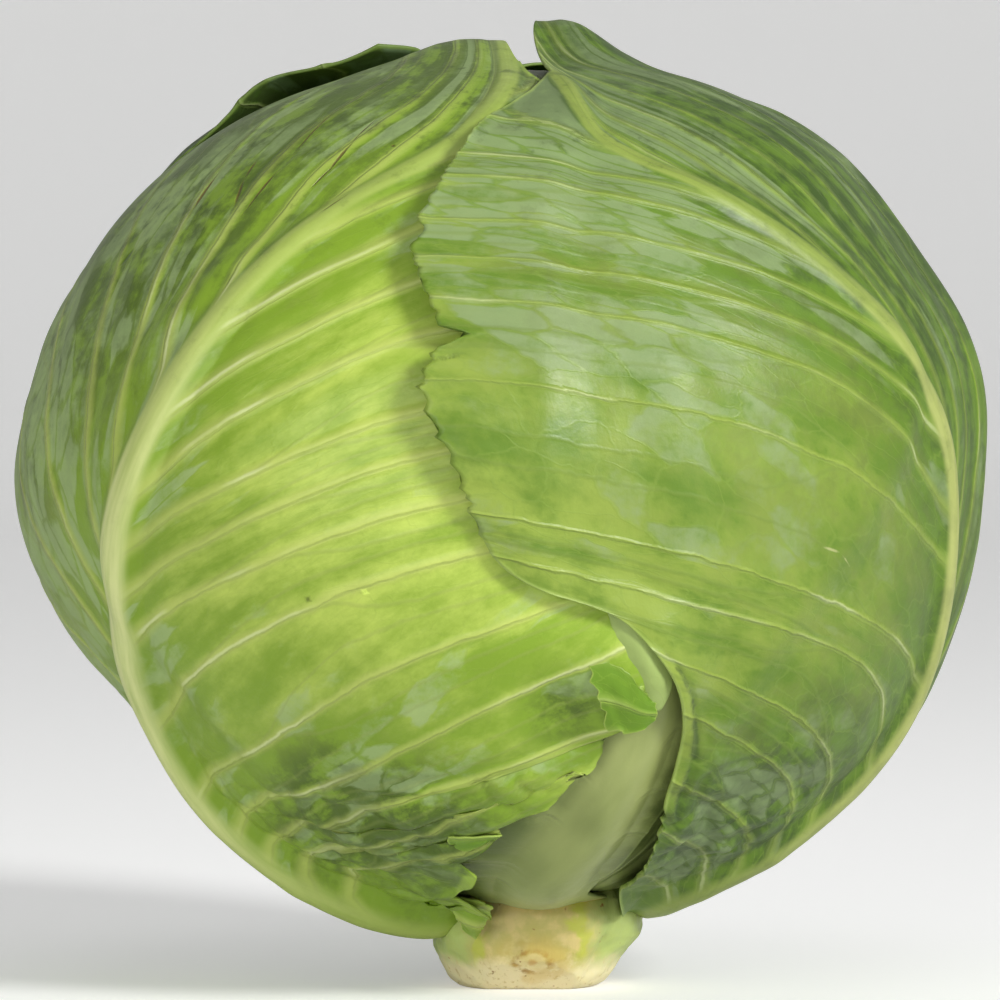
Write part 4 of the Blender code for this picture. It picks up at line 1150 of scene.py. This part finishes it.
    rough = timesPlus(tree, grain, share["grainRough"], look["rough"])
    rough = timesPlus(tree, bloom, share["bloomRough"], rough)
    tree.links.new(rough, shader.inputs["Roughness"])
    height = times(tree, pattern["Height"], soften(tree, ribShare, 0.5, 1.0))
    for mask, key in ((mottle, "mottle"), (grain, "grain"), (fibres, "fibre"), (cuts, "cut")):
        height = timesPlus(tree, mask, share[key + "Height"], height)
    linkBump(tree, shader, height, share["bump"], mm)
    return material


commonLook = {
    # colours, and the strength, width or size of each layer; ribReach is a share of the midrib's width
    "dark": (0.09, 0.14, 0.03), "shade": 0.5, "mottling": 1.0, "rough": 0.35,
    "bloomAmount": 0.3, "lineWidth": 0.3, "veinWidth": 0.4, "veinStrength": 0.4, "crestStrength": 0.2,
    "rib": (0.5, 0.6, 0.2), "ribStreak": (0.4, 0.5, 0.15), "ribReach": (0.5, 0.8), "fibres": 400.0,
    "ribPeak": 0.12, "ribFall": 0.7,    # metres along the leaf, and how far the midrib's colour falls off
    "rimReach": 0.8,                    # mm
}

leafLooks = {
    "leftLeaf": {
        "deep": (0.23, 0.37, 0.025), "bright": (0.53, 0.66, 0.115), "dark": (0.055, 0.095, 0.012),
        "mottling": 0.75, "rough": 0.29,
        "bloom": (0.39, 0.51, 0.235), "bloomStrength": 0.65,
        "net": (0.28, 0.4, 0.06), "netStrength": 0.12, "netSize": 8.0,
        "vein": (0.56, 0.64, 0.16), "veinStrength": 0.6, "veinWidth": 0.9,
        "line": (0.3, 0.36, 0.09), "lineStrength": 0.36,
        "crest": (0.78, 0.83, 0.48), "crestStrength": 0.5,
        "rib": (0.74, 0.79, 0.34), "ribStreak": (0.5, 0.6, 0.19), "ribReach": (0.35, 0.7), "ribPeak": 0.09,
        "rim": (0.4, 0.56, 0.08), "rimReach": 0.9,
        # azimuth and elevation of both ends, and the width in mm
        "cracks": [(-52.0, 34.9, -52.9, 42.5, 0.7), (-43.2, 37.0, -45.0, 41.5, 0.9),
                   (-40.6, 35.5, -38.5, 43.0, 0.6), (-37.9, 44.6, -38.1, 54.4, 0.4),
                   (-28.6, 42.0, -26.9, 47.8, 0.7), (-27.3, 47.4, -25.5, 53.4, 0.35),
                   (-30.2, 39.5, -28.1, 43.2, 0.4), (-44.8, 41.1, -45.3, 44.3, 0.5),
                   (-19.3, 46.8, -18.3, 46.6, 0.8), (-25.6, 34.2, -22.6, 37.4, 0.5)],
        "tearShadows": [(-62.9, 28.0, -61.7, 30.3, 1.6)],
    },
    "rightLeaf": {
        "deep": (0.115, 0.21, 0.015), "bright": (0.31, 0.41, 0.06), "dark": (0.03, 0.062, 0.012),
        "shade": 0.52, "mottling": 1.05, "rough": 0.33,
        "bloom": (0.25, 0.33, 0.15), "bloomAmount": 0.2, "bloomStrength": 0.7,
        "net": (0.22, 0.32, 0.05), "netStrength": 0.3, "netSize": 10.0,
        "vein": (0.35, 0.45, 0.08), "veinStrength": 0.5,
        "line": (0.17, 0.25, 0.04), "lineStrength": 0.5, "lineWidth": 0.28,
        "crest": (0.6, 0.66, 0.36), "crestStrength": 0.5,
        "rib": (0.44, 0.48, 0.15), "ribStreak": (0.34, 0.39, 0.1), "ribReach": (0.4, 0.7),
        "ribPeak": 0.09, "ribFall": 0.5,
        "rim": (0.38, 0.5, 0.12),
        "tearShadows": [(-7.1, 15.0, -3.0, 16.1, 1.5)],
        "scars": [(39.6, -5.3, 42.8, -6.1, 0.6), (42.8, -6.1, 45.7, -8.0, 0.4)],
    },
    "backLeaf": {
        "deep": (0.07, 0.14, 0.02), "bright": (0.17, 0.27, 0.045), "dark": (0.045, 0.07, 0.018),
        "shade": 0.45, "mottling": 1.2, "rough": 0.38,
        "bloom": (0.2, 0.29, 0.16), "bloomAmount": 0.6, "bloomStrength": 0.6,
        "net": (0.12, 0.2, 0.04), "netStrength": 0.25, "netSize": 12.0,
        "vein": (0.3, 0.38, 0.1), "veinStrength": 0.6, "veinWidth": 0.5,
        "line": (0.1, 0.15, 0.03), "lineStrength": 0.4,
        "crest": (0.5, 0.56, 0.3), "crestStrength": 0.4,
        "rib": (0.33, 0.4, 0.13), "ribStreak": (0.25, 0.32, 0.09),
        "rim": (0.2, 0.3, 0.05),
    },
    "foldGreen": {
        "deep": (0.14, 0.27, 0.014), "bright": (0.25, 0.4, 0.03),
        "bloom": (0.3, 0.42, 0.12), "bloomAmount": 0.0, "bloomStrength": 0.3,
        "net": (0.35, 0.48, 0.06), "netStrength": 0.15, "netSize": 5.0,
        "vein": (0.4, 0.52, 0.1),
        "line": (0.3, 0.36, 0.09), "lineStrength": 0.2, "lineWidth": 0.2,
        "crest": (0.6, 0.7, 0.3),
        "rim": (0.45, 0.58, 0.12), "rimReach": 0.5,
    },
    "foldPale": {
        "deep": (0.32, 0.42, 0.12), "bright": (0.48, 0.57, 0.24),
        "bloom": (0.4, 0.45, 0.22), "bloomStrength": 0.4,
        "net": (0.3, 0.38, 0.1), "netStrength": 0.1, "netSize": 6.0,
        "vein": (0.55, 0.6, 0.3),
        "line": (0.3, 0.36, 0.12), "lineStrength": 0.15, "lineWidth": 0.2,
        "crest": (0.6, 0.65, 0.4),
        "rim": (0.3, 0.4, 0.1), "rimReach": 0.6,
    },
    "paleLeaf": {
        "deep": (0.11, 0.15, 0.035), "bright": (0.34, 0.4, 0.13), "dark": (0.08, 0.1, 0.03), "rough": 0.28,
        "bloom": (0.28, 0.32, 0.18), "bloomStrength": 0.3,
        "net": (0.2, 0.26, 0.07), "netStrength": 0.06, "netSize": 20.0,
        "vein": (0.3, 0.36, 0.13), "veinStrength": 0.25, "veinWidth": 1.2,
        "line": (0.16, 0.21, 0.07), "lineStrength": 0.1, "lineWidth": 0.5,
        "crest": (0.5, 0.55, 0.3), "crestStrength": 0.1,
        "rib": (0.37, 0.42, 0.145), "ribStreak": (0.26, 0.31, 0.095), "ribReach": (0.6, 1.6), "fibres": 90.0,
        "foot": (0.62, 0.52, 0.2), "footReach": (6.0, 3.0),     # mm along the leaf
        "ribPeak": 0.06, "ribFall": 0.3,
        "rim": (0.33, 0.4, 0.13),
    },
}

veinPattern = veinGroup()
waxPattern = waxGroup()
materials = {}
for lookName, ownLook in leafLooks.items():
    materials[lookName] = leafMaterial(lookName, {**commonLook, **ownLook}, veinPattern, waxPattern)
print("leaf materials made")

stump = {
    # height, radius and shift to the right, in mm
    "rings": [(0.0, 7.0, 0.0), (0.0, 13.0, 0.0), (0.9, 14.4, 0.2), (2.6, 15.8, 0.5), (4.8, 17.3, 0.6),
              (7.3, 18.5, 0.8), (10.0, 19.2, 1.6), (13.0, 19.4, 2.2), (17.0, 19.6, 2.2),
              (20.0, 18.6, 2.0), (21.5, 12.5, 1.0)],
    "top": 22.0,
    # remains of cut leaf stalks: turn in degrees from the front, height, reach in degrees, in mm, amount
    "lumps": [(4, 14.5, 26, 3.6, 2.6), (50, 12.5, 17, 4.5, 1.7), (-52, 12.5, 18, 4.0, 1.3),
              (-26, 9.5, 9, 4.0, 1.0), (30, 8.5, 8, 4.0, 1.0), (2, 5.7, 10, 2.0, 0.6), (2, 5.7, 5, 1.0, -0.6),
              (-12, 9.5, 3.5, 9.0, -0.7), (40, 9.0, 3.5, 8.0, -0.8)],
    # uneven surface: height in mm, humps round the stump, their height in mm, where it starts, seed
    "uneven": [(0.25, 64, 1.6, 1.5, 41), (0.8, 16, 5.0, 2.5, 42)],
    "sides": 160,
    "steps": 90,
    "knifeStart": 10.6,
    "knifeSlope": 0.8,
    "knifeTop": 12.0,
    "knifeMarks": (0.1, 1.2),
}

stumpLook = {
    "flesh": (0.74, 0.6, 0.25),
    "darkFlesh": (0.56, 0.5, 0.16),
    "green": (0.5, 0.6, 0.19),
    "greenEdge": (0.56, 0.6, 0.08),
    "pale": (0.9, 0.8, 0.5),
    "paleTop": (10.5, 6.5),         # mm above the cut face: where the pale band starts and is full
    "streak": (0.68, 0.56, 0.26),
    "ringBrown": (0.42, 0.24, 0.05),
    "ochre": (0.66, 0.46, 0.11),
    "scarFlesh": (0.8, 0.68, 0.32),
    "scarCore": (0.6, 0.36, 0.1),
    "spots": (0.36, 0.2, 0.05),
    "scarPlace": (0.8, 5.7),        # mm to the right and up
    "scarSpread": (320.0, 520.0),   # for each metre sideways and up, so that 1 is about its ring
    "cloudScale": 130.0,
    "streakScale": 1300.0,
    "flawScale": 420.0,
    "spotScale": 480.0,
    "bump": 0.4,
    "bumpHeight": 0.3 * mm,
    "glow": 0.2,                    # light that spreads inside the flesh
    "glowReach": (2.0, 1.5, 0.6),   # mm in red, green and blue
}


def stumpMaterial():
    material, tree, shader = startMaterial("stumpFlesh")
    look = stumpLook
    place = node(tree, "ShaderNodeTexCoord").outputs["Object"]
    parts = node(tree, "ShaderNodeSeparateXYZ", None, Vector=place).outputs
    x, z = parts[0], parts[2]
    cloud = noise(tree, place, look["cloudScale"], 5.0, 0.6)
    flesh = blendColour(tree, soften(tree, cloud, 0.38, 0.6), look["flesh"], look["darkFlesh"])
    green = timesPlus(tree, positive(tree, x), 75.0, -0.6)
    green = timesPlus(tree, cloud, 0.9, less(tree, green, 0.45))
    flesh = blendColour(tree, soften(tree, green, 0.0, 0.6), flesh, look["green"])
    edge = positive(tree, less(tree, green, 0.12))
    flesh = blendColour(tree, soften(tree, edge, 0.16, 0.03, 0.0, 0.8), flesh, look["greenEdge"])
    streaks = node(tree, "ShaderNodeMapping", {"vector_type": "POINT"}, Vector=place, Scale=(1.0, 1.0, 0.12))
    lines = noise(tree, streaks.outputs[0], look["streakScale"], 2.0)
    start, full = look["paleTop"]
    pale = soften(tree, timesPlus(tree, cloud, 6.0 * mm, z), start * mm, full * mm)
    flesh = blendColour(tree, times(tree, pale, 0.9), flesh, look["pale"])
    flesh = blendColour(tree, times(tree, soften(tree, lines, 0.56, 0.74), pale), flesh, look["streak"])

    # scar of a bundle of vessels at the front, with brown spots round it
    squares = []
    for along, centre, spread in zip((x, z), look["scarPlace"], look["scarSpread"]):
        away = times(tree, less(tree, along, centre * mm), spread)
        squares.append(maths(tree, "POWER", positive(tree, away), 2.0))
    fromScar = maths(tree, "SQRT", maths(tree, "ADD", *squares))
    flaw = noise(tree, place, look["flawScale"], 3.0)
    fromScar = timesPlus(tree, less(tree, flaw, 0.5), 0.9, fromScar)
    ringAway = positive(tree, less(tree, fromScar, 1.15))
    ring = times(tree, soften(tree, ringAway, 0.35, 0.05), soften(tree, flaw, 0.4, 0.62))
    ochre = times(tree, soften(tree, fromScar, 3.4, 1.4), soften(tree, cloud, 0.46, 0.58))
    spots = noise(tree, place, look["spotScale"], 2.0)
    layers = (
        ("ringBrown", times(tree, ring, 0.9)),
        ("ochre", times(tree, ochre, 0.5)),
        ("scarFlesh", soften(tree, fromScar, 1.0, 0.7, 0.0, 0.6)),
        ("scarCore", soften(tree, fromScar, 0.45, 0.1, 0.0, 0.8)),
        ("spots", soften(tree, spots, 0.68, 0.75)),
    )
    for key, mask in layers:
        flesh = blendColour(tree, mask, flesh, look[key])
    tree.links.new(flesh, shader.inputs["Base Color"])
    linkBump(tree, shader, maths(tree, "ADD", cloud, lines), look["bump"], look["bumpHeight"])
    shader.inputs["Subsurface Weight"].default_value = look["glow"]
    shader.inputs["Subsurface Radius"].default_value = look["glowReach"]
    shader.inputs["Subsurface Scale"].default_value = mm
    return material


def buildStump():
    # rings round the stalk, cut off below and by a slanting knife cut at the front
    rings = np.array(stump["rings"])
    walk = np.concatenate([[0], np.cumsum(np.linalg.norm(np.diff(rings, axis=0), axis=1))])
    turns = np.arange(stump["sides"]) * 2 * np.pi / stump["sides"]
    place, turn = np.meshgrid(np.linspace(0, walk[-1], stump["steps"]), turns, indexing="ij")
    z, radius, shift = (np.interp(place, walk, rings[:, part]) for part in (0, 1, 2))
    for height, humps, size, start, seed in stump["uneven"]:
        radius = radius + height * softNoise(turn * humps / (2 * np.pi), z / size, seed) * ramp(z / start)
    for angle, level, reach, size, amount in stump["lumps"]:
        away = np.degrees(np.angle(np.exp(1j * (turn - np.radians(angle)))))
        radius += amount * bell(away / reach) * bell((z - level) / size)
    x = shift + radius * np.sin(turn)
    y = -radius * np.cos(turn)
    depth, size = stump["knifeMarks"]
    cut = (-y - stump["knifeStart"]) * stump["knifeSlope"] + depth * softNoise(x / size, y / size, 43)
    cut = np.where(-y > stump["knifeStart"], cut, 0)
    z = np.where(z < stump["knifeTop"], np.maximum(z, cut), z)
    points, faces = roundBody(np.stack([x, y, z], axis=-1), [[0.0, 0.0, 0.0], [0.0, 0.0, stump["top"]]])
    meshObject("stump_surface", points * mm, faces, {}, ["stump"], stumpMaterial())


innerHead = {
    "relief": 0.9 * mm,
    "folds": 5,
    "twist": 3,
    "rings": 120,
    "sides": 180,
    "degree": 1.5 * mm,     # length on the ball for the veins' pattern
    "veinGap": 20.0 * mm,
    "veinRate": 40,
}


def buildInnerHead():
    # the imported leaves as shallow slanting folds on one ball
    levels = np.linspace(-90, 90, innerHead["rings"] + 1)[1:-1]
    turns = np.arange(innerHead["sides"]) * 360 / innerHead["sides"]
    elevation, azimuth = np.meshgrid(levels, turns, indexing="ij")

    def surface(el, az):
        way = direction(az, el)
        turn = np.radians(az * innerHead["folds"] + el * innerHead["twist"])
        folded = (0.5 - 0.5 * np.cos(turn)) * np.cos(np.radians(el)) ** 0.5
        return head["centre"] + way * (headRadius(way) - innerHead["relief"] * folded)[..., None]

    ends = surface(np.array([-90.0, 90.0]), np.array([0.0, 0.0]))
    points, faces = roundBody(surface(elevation, azimuth), ends)
    u = np.concatenate([azimuth.ravel(), [0, 0]]) * innerHead["degree"]
    v = np.concatenate([elevation.ravel(), [-90, 90]]) * innerHead["degree"]
    gap = innerHead["veinGap"]
    facts = patternFacts(u, v, gap, u * innerHead["veinRate"], gap, 3.0)
    meshObject("inner_head_surface", points, faces, facts, ["inner_head"], materials["paleLeaf"])


buildStump()
buildInnerHead()
laid = []
for leafName in leaves:
    buildLeaf(leafName, laid)
    laid.append(leaves[leafName])
for foldName in folds:
    buildFold(foldName, laid[:3])

studio = {
    "cameraDistance": 1.2,
    "cameraElevation": 1.5,     # degrees
    "frameWidth": 0.1864,       # at the head's middle
    "aimBelow": 1.86 * mm,
    "sensor": 36.0,             # mm
    "innerFloor": [0.02, 0.5, 1.4],
    "floorReach": 2.7,
    "wallCurve": 1.3,
    "wallTop": 2.6,
    "wallSteps": 16,
    "floorSides": 96,
    "floorColour": (0.86, 0.86, 0.85),
    "floorRough": 0.8,
    "floorGlow": 0.3,           # makes the backdrop pale without lighting the head
    "worldColour": (1.0, 1.0, 1.0),
    "worldStrength": 0.28,
    # azimuth, elevation, distance, size, watts
    "lights": {
        "key": (46, 26, 1.9, 0.5, 32),
        "fill": (-30, 6, 2.0, 1.3, 14),
        "top": (0, 75, 2.0, 1.0, 2),
    },
}


def buildFloor():
    # a plain floor that curves up into a round wall, so that every view ends on it
    angle = np.linspace(0, np.pi / 2, studio["wallSteps"])
    radii = np.concatenate([studio["innerFloor"], studio["floorReach"] + studio["wallCurve"] * np.sin(angle)])
    heights = np.concatenate([[0, 0, 0], studio["wallCurve"] * (1 - np.cos(angle)), [studio["wallTop"]]])
    radii = np.append(radii, radii[-1])[:, None]
    turn = np.arange(studio["floorSides"]) * 2 * np.pi / studio["floorSides"]
    rows = np.stack([radii * np.sin(turn), -radii * np.cos(turn), heights[:, None] + 0 * turn], axis=-1)
    points, faces = roundBody(rows, [[0.0, 0.0, 0.0]])
    mesh = bpy.data.meshes.new("floor")
    mesh.from_pydata(points.tolist(), [], faces[:, ::-1].tolist())
    mesh.update()
    mesh.shade_smooth()
    material, tree, shader = startMaterial("floorPaint", studio["floorRough"])
    shader.inputs["Base Color"].default_value = (*studio["floorColour"], 1.0)
    shader.inputs["Emission Color"].default_value = (1.0, 1.0, 1.0, 1.0)
    seen = node(tree, "ShaderNodeLightPath").outputs["Is Camera Ray"]
    tree.links.new(times(tree, seen, studio["floorGlow"]), shader.inputs["Emission Strength"])
    mesh.materials.append(material)
    floor = bpy.data.objects.new("floor", mesh)
    bpy.context.scene.collection.objects.link(floor)


def lookFrom(thing, place, target):
    thing.location = Vector(place)
    thing.rotation_mode = "QUATERNION"
    thing.rotation_quaternion = (Vector(target) - Vector(place)).to_track_quat("-Z", "Y")


def buildStudio():
    scene = bpy.context.scene
    world = bpy.data.worlds.new("studio")
    world.use_nodes = True
    background = world.node_tree.nodes["Background"]
    background.inputs["Color"].default_value = (*studio["worldColour"], 1.0)
    background.inputs["Strength"].default_value = studio["worldStrength"]
    scene.world = world
    for name, (azimuth, elevation, distance, size, power) in studio["lights"].items():
        data = bpy.data.lights.new(name, "AREA")
        data.shape = "DISK"
        data.size = size
        data.energy = power
        lamp = bpy.data.objects.new(name, data)
        lamp.visible_camera = False
        scene.collection.objects.link(lamp)
        lookFrom(lamp, head["centre"] + direction(azimuth, elevation) * distance, head["centre"])
    data = bpy.data.cameras.new("camera")
    data.sensor_width = studio["sensor"]
    data.lens = studio["sensor"] * studio["cameraDistance"] / studio["frameWidth"]
    data.clip_start = 0.05
    camera = bpy.data.objects.new("camera", data)
    scene.collection.objects.link(camera)
    back = direction(0.0, studio["cameraElevation"])
    target = head["centre"] - direction(180.0, 90 - studio["cameraElevation"]) * studio["aimBelow"]
    lookFrom(camera, target + back * studio["cameraDistance"], target)
    scene.camera = camera
    scene.view_settings.view_transform = "Standard"


buildFloor()
buildStudio()
print("studio set")
